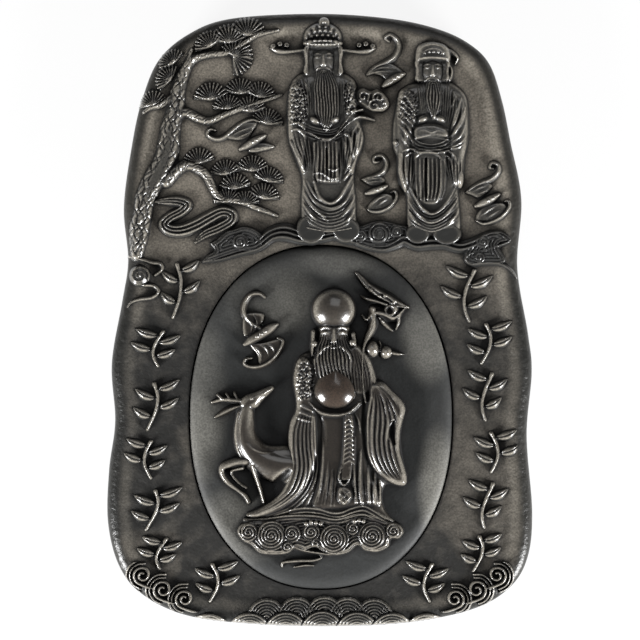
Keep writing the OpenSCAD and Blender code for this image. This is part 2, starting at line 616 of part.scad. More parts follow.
// A sprig that fills one place down the border: a bent stem with leaves on both sides
module sprig(centre, size, lean, hand) {
    leaves = 4;
    along = function (t) [centre.x + size.x * 0.16 * hand * sin(180 * t + lean),
                          centre.y + size.y * (0.5 - t)];
    stem = [for (t = [0:1 / 3:1]) let(p = along(t)) [p.x, p.y, 0.9 - 0.4 * t, 1.7]];
    carved(stem, sharp_line);
    for (i = [0:leaves - 1]) {
        t = 0.1 + 0.8 * i / leaves;
        side = hand * (i % 2 == 0 ? 1 : -1);
        p = along(t);
        reach = size.x * (0.56 - 0.12 * t);
        rise = size.y * 0.2;
        carved([[p.x + side, p.y, 0.3, 1.2], [p.x + side * reach * 0.55, p.y + rise * 0.25, 1.9, 1.9],
                [p.x + side * reach, p.y + rise, 0.2, 0.8]], sharp_line);
    }
}

// Places of the sprigs: [x, y, width, height, lean, hand]
sprigs = [
    [-60, 12, 16, 22, 20, 1], [-66, -12, 19, 14, -20, -1], [-70, -36, 18, 19, 30, 1],
    [-70, -58, 17, 15, 0, -1], [-70, -79, 19, 16, 40, 1], [-65, -97, 17, 12, -30, -1],
    [-45, -109, 18, 15, 10, 1],
    [63, 10, 20, 21, -20, -1], [68, -10, 18, 16, 20, 1], [70, -32, 17, 19, -30, -1],
    [71, -55, 18, 16, 0, 1], [70, -77, 17, 18, -40, -1], [65, -97, 16, 14, 30, 1],
    [46, -109, 18, 15, -10, -1]];

module border_sprigs_form() {
    for (s = sprigs)
        sprig([s[0], s[1]], [s[2], s[3]], s[4], s[5]);
}

module border_sprigs() {
    on_slab() {
        border_sprigs_form();
        edge_clouds_form();
        sea_waves_form();
    }
}

// Rows of waves at the foot: each scale is a low swelling with ridges round it
module sea_waves_form() {
    for (x = [-22, -9.5, 2, 11.5, 22.5])
        boss([x, -122.4 - abs(x) * 0.05], 7.4, 8.2, 1.2, 0, 12, true, ridged(1, 0.3));
    for (x = [-46, -29, -14, 1, 15.5, 30, 44.5])
        boss([x, -127.2 - abs(x - 1) * 0.03], 8.6, 7.7, 4.6, 0, 12, true, ridged(1, 0.3));
}

module sea_waves() {
    on_slab()
        sea_waves_form();
}

// Breaking waves in the two lower corners
module wave_crests_form() {
    for (side = [-1, 1], crest = [[75.5, -107, 4], [66.6, -113.4, 4.2], [57.4, -117.2, 3.8]]) {
        c = [side * crest.x, crest.y];
        curl = spiral(c, crest[2], side > 0 ? -60 : 240, 1.1, 0.9, 2.8, side);
        tail = [[c.x - side * 4.4, c.y - crest[2] - 1.4, 0.4, 1.6]];
        carved(concat(tail, curl), sharp_line, draped = true);
    }
}

module wave_crests() {
    on_slab()
        wave_crests_form();
}

// Elder on the lid: high forehead, wide sleeves and a long robe
module elder_figure_form() {
    cloth([[-79.6, -22, 28, 1.4, 0.4], [-75, -12, 25.6, 3.2, 0.7], [-66, -8, 24.6, 4, 0.7],
           [-54, -6, 22, 4.6, 0.6], [-42, -7, 21.6, 5, 0.4], [-30, -10.6, 24, 5.2, 0.4],
           [-20, -11, 23, 4.8, 0.3], [-13.6, -7, 18, 4, 0.2], [-10, -2, 13, 3, 0]], 5);
    // Left sleeve with its train, right sleeve
    carved([[-5.6, -17, 3, 4.8], [-7.4, -27, 3.6, 5.8], [-7.6, -38, 4.6, 6.2],
            [-6.8, -50, 5.6, 6], [-7.2, -61, 5.4, 5.6], [-11.6, -70.6, 4.8, 5],
            [-19.6, -76.4, 3.2, 4], [-29.6, -80, 1.2, 2.4]], ribbed_line(3, 0.12));
    carved([[19, -18, 3, 4.8], [25, -29, 5, 5.8], [28, -40, 6.6, 6], [27, -51, 6, 5.8],
            [28.4, -60, 4.6, 5], [33.6, -66.6, 1.8, 3.2]], ribbed_line(3, 0.12));
    // Sash with its pendant, and the front panels of the skirt
    carved([[12, -40, 1.6, 6], [12, -50, 1.8, 5.8], [10.6, -62, 1.7, 5.4],
            [10.4, -67, 1.5, 5.2]], full_line);
    boss([10.4, -71.6], 4, 4.4, 5.4);
    carved([[4.6, -39, 3, 5.6], [4, -52, 3.4, 5.2], [2.6, -66, 3.4, 4.8],
            [1.6, -77, 3.2, 4]], ribbed_line(2, 0.12));
    carved([[18, -40, 1.6, 5.8], [17.6, -56, 2, 5.2], [18.6, -76.4, 2.4, 4.2]],
           ribbed_line(2, 0.14));
    // Head: face, forehead, nose, ears and beard
    boss([5.6, -6], 7.8, 7.6, 6.6);
    boss([5.6, 4.4], 9.6, 9.2, 9, sides = 18,
         shape = [[1, 0.15], [0.88, 0.58], [0.66, 0.82], [0.36, 0.96]]);
    carved([[5.6, -3, 0.7, 7.4], [5.6, -7.4, 1.2, 7.8]], sharp_line);
    for (side = [-1, 1])
        carved([[5.6 + 7.8 * side, -3, 1.2, 5], [5.6 + 8 * side, -7, 1, 5],
                [5.6 + 7.6 * side, -10.6, 1, 4.8]]);
    carved([[5.6, -10.4, 5.6, 6.4], [6, -15, 5.8, 6.8], [6.4, -20, 3.4, 6.8]],
           ribbed_line(3, 0.12));
    // Hands and cuffs under the fruit
    carved([[-3, -35, 2, 6.4], [2, -38.6, 2, 6.8], [10, -38.6, 2, 6.8], [15.6, -35, 2, 6.4]],
           ribbed_line(2, 0.12));
}

module elder_figure() {
    on_lid() {
        elder_figure_form();
        peach_form();
        staff_form();
        lid_clouds_form();
    }
}

module peach_form() {
    boss([6.3, -28.2], 10.2, 9.6, 9, sides = 18,
         shape = [[1, 0.6], [0.9, 0.68], [0.8, 0.85], [0.45, 0.96]]);
    carved([[6.4, -25, 6, 8], [6.6, -20.6, 3, 7.2], [6.8, -17.6, 0.4, 6.6]], sharp_line);
}

module peach() {
    on_lid()
        peach_form();
}

// Gnarled staff with a carved head and a gourd tied to it
module staff_form() {
    carved([[22.4, 3, 2, 4.4], [21.6, -3, 1.7, 4.6], [18.6, -9, 1.4, 5.4],
            [17.6, -17, 1.3, 6], [17.8, -25, 1.2, 6.4], [19.4, -34, 1, 6.6]]);
    carved([[15, 19.4, 0.8, 2.2], [19.4, 15, 1.3, 3.2], [24.4, 10.8, 2.2, 4],
            [29.6, 8, 2.8, 4.6], [33, 5.4, 2, 4], [36, 5, 0.6, 2.6]]);
    carved([[17.4, 9.6, 0.8, 2.4], [21.6, 8.2, 1.3, 3.2], [27, 6.6, 1.8, 4.6]]);
    carved([[18.6, 0.6, 0.8, 2.8], [22.4, 2.6, 2, 4.2], [27.8, 4, 2.4, 4.8],
            [30.6, 1, 1.8, 4], [32, -3.4, 0.6, 2.6]]);
    boss([30, 4], 3.4, 3, 5.4, 30, 8);
    boss([21.6, -12], 3.9, 3.8, 5.4);
    boss([27.6, -13.4], 2.9, 2.9, 4.4, sides = 8);
    carved([[29.6, -13.6, 0.9, 2.8], [34.8, -14, 0.3, 1.6]]);
}

module staff() {
    on_lid()
        staff_form();
}

// Kneeling deer that looks back over its shoulder
module deer_form() {
    carved([[-31, -35, 3, 4.4], [-31, -42, 4.2, 4.8], [-30, -50, 5.2, 5.2],
            [-26, -56, 6.4, 5.6], [-20, -59.6, 7.2, 5.6], [-12, -61, 7, 5]]);
    carved([[-31.8, -34.6, 2.6, 4.4], [-28, -32.2, 3.2, 5.2], [-23.6, -30, 2.4, 4.4],
            [-19.4, -27.8, 1.2, 3.2]]);
    // Raised foreleg, folded leg and haunch
    carved([[-29, -57.6, 2.6, 4.4], [-36, -59.8, 2.2, 4.2], [-40.4, -62, 1.5, 3.8],
            [-37.6, -66.4, 1.3, 3.4], [-33, -70.4, 1.2, 3], [-29.4, -75, 1, 2.6]]);
    carved([[-26.6, -60, 2.4, 4.8], [-25.2, -67.4, 1.4, 3.8], [-23.2, -75.4, 1, 2.6]]);
    boss([-16, -60.4], 6.4, 6.6, 5.8);
    // Antlers and ear
    carved([[-31, -33.4, 1.1, 4], [-37.4, -33.6, 1, 3.4], [-44, -34, 0.4, 1.8]]);
    for (tine = [[-35, -30.6], [-38.6, -31.2], [-42, -31.6]])
        carved([[tine.x + 1.6, tine.y - 2.6, 0.7, 3], [tine.x, tine.y, 0.4, 2]]);
    carved([[-32, -35.4, 1, 4], [-37.6, -37.6, 1.2, 3.2], [-43, -39.8, 0.3, 1.6]]);
}

module deer() {
    on_lid() {
        deer_form();
        elder_figure_form();
        lid_clouds_form();
    }
}

module lid_bat_form() {
    bat([[-30.6, -9.4, 0.8], [-26, -6.6, 2.2], [-21, -4, 1.9], [-17.6, -2.2, 0.8]],
        [[[-22.8, 8.8, 0.5], [-25, 11, 0.8], [-29, 9.8, 1], [-31.2, 5.6, 1.3],
          [-29.6, 1, 2], [-26.4, -1.6, 2.4], [-23.4, -3.4, 1.6]],
         [[-30.6, -16.4, 0.4], [-31, -18.4, 0.6], [-27, -18.4, 1], [-21.4, -16.4, 1.7],
          [-18.4, -12.6, 2.2], [-21, -9.4, 2.2], [-26, -9.8, 1.4]]], 2.8);
}

module lid_bat() {
    on_lid()
        lid_bat_form();
}

module lid_clouds_form() {
    carved([[-30, -82.4, 1, 2.6], [-18, -83, 1.6, 3.4], [-6, -80, 1.8, 4], [8, -82, 1.8, 4.2],
            [18, -79.6, 1.8, 4], [26, -83, 1.6, 3.4], [33, -87, 1.2, 2.6]],
           ribbed_line(2, 0.16));
    cloud_head([-20, -88], 7.2, 20, 1, 4.8, 1.7);
    cloud_head([6, -90], 6, 0, -1, 4.8, 1.7);
    cloud_head([22, -88.6], 6, 180, 1, 4.6, 1.7);
    boss([-29, -87.6], 4.6, 4.2, 3.4, shape = ridged(1, 0.25));
    boss([-12, -88.4], 3.6, 3.6, 3.6, sides = 8);
    boss([-3, -86.4], 4, 3.6, 3.6, sides = 8);
    boss([13.8, -86.6], 3.4, 3.4, 3.6, sides = 8);
    carved([[-24, -94.6, 0.8, 2.4], [-19, -96, 1.3, 2.8], [-12, -94, 1.3, 2.8],
            [-6, -95.4, 1.2, 2.8], [3, -96.4, 1.1, 2.6], [13, -93.6, 0.9, 2.4]]);
    carved([[-15, -102, 0.6, 1.8], [-14, -99.8, 0.8, 2], [-6, -99.4, 0.9, 2],
            [0.6, -98.6, 0.6, 1.8], [-0.8, -96.6, 0.4, 1.6]]);
}

module lid_clouds() {
    on_lid()
        lid_clouds_form();
}

slab();
pine_trunk();
pine_tufts();
hat_figure();
cap_figure();
cloud_bank();
mist_ribbon();
edge_clouds();
slab_bats();
border_sprigs();
sea_waves();
wave_crests();
lid();
elder_figure();
peach();
staff();
deer();
lid_bat();
lid_clouds();
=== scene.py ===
import math
import bpy
import numpy as np
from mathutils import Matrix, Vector


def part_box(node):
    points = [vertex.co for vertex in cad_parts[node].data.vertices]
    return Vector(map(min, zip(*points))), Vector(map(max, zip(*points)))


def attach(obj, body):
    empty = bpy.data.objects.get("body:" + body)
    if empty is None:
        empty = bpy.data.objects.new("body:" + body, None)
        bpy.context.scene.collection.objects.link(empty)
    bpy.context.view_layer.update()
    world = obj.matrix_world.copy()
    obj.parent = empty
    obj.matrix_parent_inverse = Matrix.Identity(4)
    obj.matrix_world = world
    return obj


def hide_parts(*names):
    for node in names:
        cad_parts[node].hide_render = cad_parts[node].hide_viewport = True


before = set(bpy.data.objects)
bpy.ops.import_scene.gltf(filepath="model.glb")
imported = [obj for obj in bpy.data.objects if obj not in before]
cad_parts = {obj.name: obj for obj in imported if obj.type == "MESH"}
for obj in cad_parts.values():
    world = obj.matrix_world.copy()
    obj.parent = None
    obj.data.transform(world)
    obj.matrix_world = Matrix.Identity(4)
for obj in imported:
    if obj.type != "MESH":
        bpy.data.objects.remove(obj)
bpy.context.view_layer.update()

# Slab: one block of dark stone with a wavy, rounded outline. Its face is cut back to a ground
# inside a low rim, and the oval seat for the lid is sunk in it, with a ledge, the grinding floor
# and the ink pool below.
low, high = (np.array(corner) * 1000 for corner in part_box("slab"))
rim_height, rim_width, edge_radius, foot_bevel = 1.2, 12, 5, 1.5
ground_z = high[2] - rim_height
seat_depth, floor_depth, pool_depth = 8, 13.5, 18.5
seat_z, floor_z, pool_z = ground_z - seat_depth, ground_z - floor_depth, ground_z - pool_depth
seat_gap, ledge_width, oval_power = 0.5, 6, 2.18
lid_low, lid_high = (np.array(corner) * 1000 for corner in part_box("lid"))
lid_middle = (lid_low[:2] + lid_high[:2]) / 2
lid_half = (lid_high[:2] - lid_low[:2]) / 2
outline_points = [
    (0, 127.5), (30, 125.4), (50, 120.9), (63, 114.5), (71, 106), (76, 91), (79.5, 74), (84, 50),
    (82.3, 22), (86.8, -6), (88.3, -22), (86.2, -48), (88.5, -80), (86.5, -99), (79, -111.5),
    (64, -120.3), (38, -125.8), (5, -127.5), (-30, -126.4), (-56, -122.8), (-74, -114),
    (-83.5, -102), (-88, -84), (-87.5, -62), (-85, -42), (-86.4, -18), (-82, 8), (-79.6, 25),
    (-81.4, 47), (-78, 73), (-74, 91), (-67, 108), (-54, 119.3), (-36, 125.6)]


def curve(points, steps=5, closed=False):
    """A smooth line through points of any number of columns: between two points each column is
    the cubic whose end slopes are half the step between that point's neighbours."""
    p = np.asarray(points, float)
    if closed:
        a, b, c, d = np.roll(p, 1, 0), p, np.roll(p, -1, 0), np.roll(p, -2, 0)
    else:
        q = np.vstack([p[:1], p, p[-1:]])
        a, b, c, d = q[:-3], q[1:-2], q[2:-1], q[3:]
    a, b, c, d = (v[:, None, :] for v in (a, b, c, d))
    t = np.linspace(0, 1, steps, endpoint=False)[None, :, None]
    line = 0.5 * (2 * b + (c - a) * t + (2 * a - 5 * b + 4 * c - d) * t**2
                  + (3 * b - a - 3 * c + d) * t**3)
    line = line.reshape(-1, p.shape[1])
    return line if closed else np.vstack([line, p[-1:]])


def inset(loop, depth):
    """A clockwise loop moved inward: each point goes along the normal of the line between its
    neighbours."""
    along = np.roll(loop, -1, 0) - np.roll(loop, 1, 0)
    along /= np.linalg.norm(along, axis=1)[:, None]
    return loop + depth * np.stack([along[:, 1], -along[:, 0]], 1)


def reach(loop, angles):
    """Distance from the lid's middle to a loop at each angle: the loop's own polar radii, read
    off at the wanted angles."""
    away = loop - lid_middle
    turn = np.arctan2(away[:, 1], away[:, 0])
    order = np.argsort(turn)
    return np.interp(angles, turn[order], np.hypot(*away.T)[order], period=2 * math.pi)


def oval_reach(inside, angles):
    """Distance to the lid's oval at each angle: |x / a| and |y / b| to the oval's power add up
    to one, for half sizes a and b that are smaller by inside."""
    a, b = lid_half - inside
    c, s = np.abs(np.cos(angles)), np.abs(np.sin(angles))
    return ((c / a) ** oval_power + (s / b) ** oval_power) ** (-1 / oval_power)


def skin(name, rings, foot, crown):
    """A closed skin over rings of equal count, from the foot up: four-sided faces between
    rings, and a fan of triangles to a point at each end. Sizes come in mm."""
    rows, count = rings.shape[:2]
    points = np.concatenate([rings.reshape(-1, 3), [foot], [crown]]) / 1000
    k = np.arange(rows * count).reshape(rows, count)
    a, b = k[:-1], np.roll(k, -1, 1)[:-1]
    c, d = np.roll(k, -1, 1)[1:], k[1:]
    quads = np.stack([a, b, c, d], -1).reshape(-1)
    step = np.roll(k, -1, 1)
    under = np.stack([np.full(count, rows * count), step[0], k[0]], -1).reshape(-1)
    over = np.stack([np.full(count, rows * count + 1), k[-1], step[-1]], -1).reshape(-1)
    loops = np.concatenate([quads, under, over])
    starts = np.concatenate([np.arange(0, len(quads), 4),
                             len(quads) + np.arange(0, 6 * count, 3)])
    return mesh_piece(name, points, loops, starts)


def mesh_piece(name, points, loops, starts):
    """A mesh from its points, the corners of its faces in turn, and where each face starts."""
    mesh = bpy.data.meshes.new(name)
    mesh.vertices.add(len(points))
    mesh.vertices.foreach_set("co", points.astype(np.float32).ravel())
    mesh.loops.add(len(loops))
    mesh.loops.foreach_set("vertex_index", loops.astype(np.int32))
    mesh.polygons.add(len(starts))
    mesh.polygons.foreach_set("loop_start", starts.astype(np.int32))
    mesh.polygons.foreach_set("use_smooth", np.ones(len(starts), bool))
    mesh.update(calc_edges=True)
    piece = bpy.data.objects.new(name, mesh)
    bpy.context.scene.collection.objects.link(piece)
    return piece


outline = curve(outline_points, 12, closed=True)
outline_low, outline_high = outline.min(0), outline.max(0)
outline = low[:2] + (outline - outline_low) * (high - low)[:2] / (outline_high - outline_low)
# A hair smaller, so that rounding leaves it inside the slab's box
outline *= 0.9997
turns = np.linspace(-math.pi, math.pi, 721)[:-1]
edge_reach = reach(outline, turns)
crest_reach = reach(inset(outline, edge_radius), turns)
rim_reach = reach(inset(outline, rim_width), turns)


def slab_ground(x, y):
    """Height of the slab's face: level inside, then up the rim along half a cosine, and round
    the edge along a quarter circle."""
    turn = np.arctan2(y - lid_middle[1], x - lid_middle[0])
    r = np.hypot(x - lid_middle[0], y - lid_middle[1])
    ends = [np.interp(turn, turns, v, period=2 * math.pi) for v in (rim_reach, crest_reach, edge_reach)]
    up = np.clip((r - ends[0]) / (ends[1] - ends[0]), 0, 1)
    over = np.clip((r - ends[1]) / (ends[2] - ends[1]), 0, 1)
    return (ground_z + rim_height * (1 - np.cos(math.pi * up)) / 2
            - edge_radius * (1 - np.sqrt(1 - over**2)))


def ring(radii, z):
    """A ring about the lid's middle at the given radii and height."""
    return np.stack([lid_middle[0] + radii * np.cos(turns), lid_middle[1] + radii * np.sin(turns),
                     np.broadcast_to(z, turns.shape)], -1)


side_top = high[2] - edge_radius
rings = [ring(reach(inset(outline, foot_bevel), turns), 0)]
rings += [ring(edge_reach, z) for z in np.linspace(foot_bevel, side_top, 4)]
for lean in np.linspace(0, math.pi / 2, 10)[1:]:
    at = crest_reach + (edge_reach - crest_reach) * math.cos(lean)
    rings.append(ring(at, side_top + edge_radius * math.sin(lean)))
for share in np.linspace(0, 1, 9)[1:]:
    at = crest_reach + (rim_reach - crest_reach) * share
    rings.append(ring(at, ground_z + rim_height * (1 + math.cos(math.pi * share)) / 2))
hole = oval_reach(-seat_gap, turns)
lip, ledge_lip, floor_bevel = 0.5, 0.3, 1
for share in np.linspace(0, 1, 34)[1:]:
    rings.append(ring(rim_reach + (hole + lip - rim_reach) * share, ground_z))
rings += [ring(hole + 0.28 * lip, ground_z - 0.24 * lip), ring(hole, ground_z - lip)]
rings.append(ring(hole, seat_z))
for inside, z in [(-ledge_lip, seat_z), (0, seat_z - ledge_lip), (0, floor_z + floor_bevel),
                  (floor_bevel, floor_z)]:
    rings.append(ring(oval_reach(ledge_width + inside, turns), z))
# The ink pool is what lies outside the well's own oval when that is moved down the slab
pool_shift, pool_slope = 30, 0.12
well_half = lid_half - ledge_width
for share in np.linspace(0, 1, 40)[1:-1]:
    at = oval_reach(ledge_width + floor_bevel, turns) * (1 - share)
    x, y = at * np.cos(turns), at * np.sin(turns) + pool_shift
    beyond = np.abs(x / well_half[0]) ** oval_power + np.abs(y / well_half[1]) ** oval_power - 1
    dip = np.clip(beyond / pool_slope, 0, 1) * np.clip(share / 0.04 - 0.6, 0, 1)
    rings.append(ring(at, floor_z + (pool_z - floor_z) * dip * dip * (3 - 2 * dip)))
slab = skin("slab_stone", np.array(rings), (*lid_middle, 0), (*lid_middle, floor_z))
sharp_angle = math.radians(40)
slab.data.set_sharp_from_angle(angle=sharp_angle)
# How far out on the rim each point lies: 0 at its inner line, 1 at the slab's edge
away = np.concatenate(rings)[:, :2] - lid_middle
outward = np.arctan2(away[:, 1], away[:, 0])
inner, outer = (np.interp(outward, turns, v, period=2 * math.pi) for v in (rim_reach, edge_reach))
rim_share = np.concatenate([(np.hypot(*away.T) - inner) / (outer - inner), [0, 0]])
slab.data.attributes.new("rim", "FLOAT", "POINT").data.foreach_set("value", rim_share)


class Value:
    """A socket of a material's node. Arithmetic on it adds Math nodes."""

    def __init__(self, finish, socket):
        self.finish, self.socket = finish, socket

    def math(self, operation, *numbers):
        """A Math node of that operation on numbers or sockets."""
        return self.finish.node("ShaderNodeMath", {"operation": operation}, dict(enumerate(numbers)))

    def __add__(self, other):
        return self.math("ADD", self, other)

    def __radd__(self, other):
        return self.math("ADD", other, self)

    def __sub__(self, other):
        return self.math("SUBTRACT", self, other)

    def __rsub__(self, other):
        return self.math("SUBTRACT", other, self)

    def __mul__(self, other):
        return self.math("MULTIPLY", self, other)

    def __rmul__(self, other):
        return self.math("MULTIPLY", other, self)

    def between(self, start, end):
        """0 at start and 1 at end, along a smooth step, and level beyond."""
        return self.finish.node("ShaderNodeMapRange", {"interpolation_type": "SMOOTHSTEP"},
                                {0: self, 1: start, 2: end})


class Finish:
    """A material. node() adds one node: its type, its settings, then the values or links of
    its sockets."""

    def __init__(self, name):
        self.material = bpy.data.materials.new(name)
        self.material.use_nodes = True
        self.tree = self.material.node_tree
        self.tree.nodes.clear()

    def node(self, kind, settings=None, inputs=None, output=0):
        made = self.tree.nodes.new(kind)
        for key, value in (settings or {}).items():
            setattr(made, key, value)
        for key, value in (inputs or {}).items():
            if isinstance(value, Value):
                self.tree.links.new(value.socket, made.inputs[key])
            else:
                made.inputs[key].default_value = value
        return Value(self, made.outputs[output]) if made.outputs else None

    def noise(self, scale, detail):
        """Noise in the piece's own coordinates, with so many cells a metre."""
        place = self.node("ShaderNodeTexCoord", output=3)
        return self.node("ShaderNodeTexNoise", None, {"Vector": place, "Scale": scale, "Detail": detail})

    def mix(self, share, first, second):
        """The first colour at a share of 0, the second at 1."""
        return self.node("ShaderNodeMix", {"data_type": "RGBA"}, {0: share, 6: first, 7: second}, 2)


def near(x, y, place, reach):
    """1 at a place on the stone, down to 0 at a distance from it, in metres, by a smooth step
    over the square of the distance."""
    across, along = (x - place[0]) * (1 / reach[0]), (y - place[1]) * (1 / reach[1])
    return 1.0 - (across * across + along * along).between(0.0, 1.0)


def stone(name, dark, warm, polish, grain, wear_and_highlight=0.0, face="plain"):
    """Dark fine-grained stone: a dark colour that turns warmer and paler in soft clouds towards
    the upper end, fine specks and pores, and dark wax with painted shade in every corner. The
    slab's rim has painted shade on its rounded edge above a pale slope, the lid's field is rubbed
    pale in places, and carving is paler from wear and a painted highlight where it stands proud."""
    # Among these tones: painted shade for the rim's edge, hollows and corners, and a painted highlight on
    # crests
    wear_and_highlight_tone, slope_tone = (0.24, 0.22, 0.185, 1), (0.26, 0.236, 0.195, 1)
    rubbed_tone, rim_shade_tone = (0.15, 0.145, 0.128, 1), (0.012, 0.012, 0.011, 1)
    speck_tone, groove_wax_and_shade_tone = (0.01, 0.01, 0.009, 1), (0.004, 0.004, 0.004, 1)
    corner_wax_and_shade_tone = (0.003, 0.003, 0.003, 1)
    finish = Finish(name)
    place = finish.node("ShaderNodeTexCoord", output=3)
    x = finish.node("ShaderNodeSeparateXYZ", None, {0: place})
    y = Value(finish, x.socket.node.outputs[1])
    cloud, fleck, pore = finish.noise(16, 4.0), finish.noise(150, 3.0), finish.noise(700, 3.0)
    dent, speck = finish.noise(300, 2.0), finish.noise(1300, 2.0).between(0.3, 0.7)
    upper = (y + (cloud - 0.5) * 0.05).between(-0.02, 0.06)
    side = x.math("ABSOLUTE", x).between(0.035, 0.06)
    lower = (0.0 - y).between(0.0, 0.06) * side * cloud.between(0.46, 0.54) * 0.3
    share = (upper + lower) * (0.5 + 0.8 * cloud) + (fleck - 0.5) * 0.5
    colour = finish.mix(share, (*dark, 1), (*warm, 1))
    rough = polish + (fleck - 0.5) * 0.2 + upper * 0.06
    # Painted shade with dark wax: corner grows where the ambient occlusion finds stone close by, in corners
    # and round the foot of each carving
    shade = finish.node("ShaderNodeAmbientOcclusion", {"samples": 8}, {"Distance": 0.0034}, 1)
    corner = (1.0 - shade).between(0.03, 0.4)
    gloss = (1.0 - corner) * (0.1 + 0.4 * cloud)
    if face == "slab":
        rim = finish.node("ShaderNodeAttribute", {"attribute_name": "rim"}, output=2)
        slope = rim.between(0.05, 0.35) * (1.0 - rim.between(0.35, 0.7))
        pale = slope * (0.25 + 0.6 * cloud) * (0.3 + 0.7 * upper)
        colour = finish.mix(pale, colour, slope_tone)
        # Painted shade: the colour turns near black on the rim's rounded outer edge
        colour = finish.mix(rim.between(0.45, 0.75) * 0.92, colour, rim_shade_tone)
        gloss = gloss * (1.0 - rim.between(0.4, 0.7) * 0.9)
        rough = rough - rim.between(0.5, 0.8) * 0.12
    if face == "lid":
        wide, tall = x * 20.0, (y + 0.0404) * 15.2
        square = wide * wide + tall * tall
        away = square.math("SQRT", square)
        patches = [((-0.022, 0.008), (0.026, 0.018), 1.0), ((-0.05, -0.03), (0.014, 0.045), 1.0),
                   ((0.045, -0.004), (0.014, 0.026), 1.0), ((-0.034, -0.086), (0.022, 0.02), 1.0),
                   ((0.049, -0.07), (0.01, 0.03), 1.0), ((0.012, 0.024), (0.03, 0.008), 0.4)]
        rubbed = sum(near(x, y, middle, reach) * strength for middle, reach, strength in patches)
        colour = finish.mix(rubbed * cloud.between(0.25, 0.6) * 0.8, colour, rubbed_tone)
        rough = rough + away.between(0.84, 0.95) * 0.24
        gloss = gloss * (1.0 - away.between(0.84, 0.93))
    if wear_and_highlight:
        hollow = finish.node("ShaderNodeAttribute", {"attribute_name": "hollow"}, output=2)
        rise = (0.0 - hollow).between(0.05, 0.9)
        # Proud crests turn paler: wear, with a painted highlight on them
        colour = finish.mix(rise * wear_and_highlight, colour, wear_and_highlight_tone)
        rough = rough + hollow.between(0.1, 0.9) * 0.3 - rise * 0.08
        gloss = (1.0 - corner) * (1.0 - hollow.between(0.02, 0.5)) * 0.9
        # Dark wax and painted shade in the hollows of the carving
        colour = finish.mix(hollow.between(0.06, 0.7) * 0.9, colour, groove_wax_and_shade_tone)
    colour = finish.mix((1.0 - speck) * 0.45, colour, speck_tone)
    # Dark wax and painted shade in every corner
    colour = finish.mix(corner * 0.95, colour, corner_wax_and_shade_tone)
    bump = finish.node("ShaderNodeBump", None, {
        "Strength": grain, "Distance": 0.0005, "Height": pore + dent * 1.4})
    shader = finish.node("ShaderNodeBsdfPrincipled", None, {
        "Base Color": colour, "Roughness": rough + corner * 0.25, "Normal": bump,
        "Specular IOR Level": 0.28, "Coat Weight": gloss, "Coat Roughness": 0.17})
    finish.node("ShaderNodeOutputMaterial", None, {0: shader})
    return finish.material


slab.data.materials.append(stone(
    "slab_stone", (0.017, 0.0165, 0.0155), (0.19, 0.168, 0.137), 0.44, 0.45, face="slab"))
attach(slab, "stone")
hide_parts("slab")

# Pine trunk: left standing at the slab's upper left, its bark cracked into slanting plates, with
# knots, and gnarled branches that reach out between the tufts.
drawn_size = np.array([177, 255])
stretch = (high - low)[:2] / drawn_size
drawn_lid_middle = np.array([0.5, -40.4])


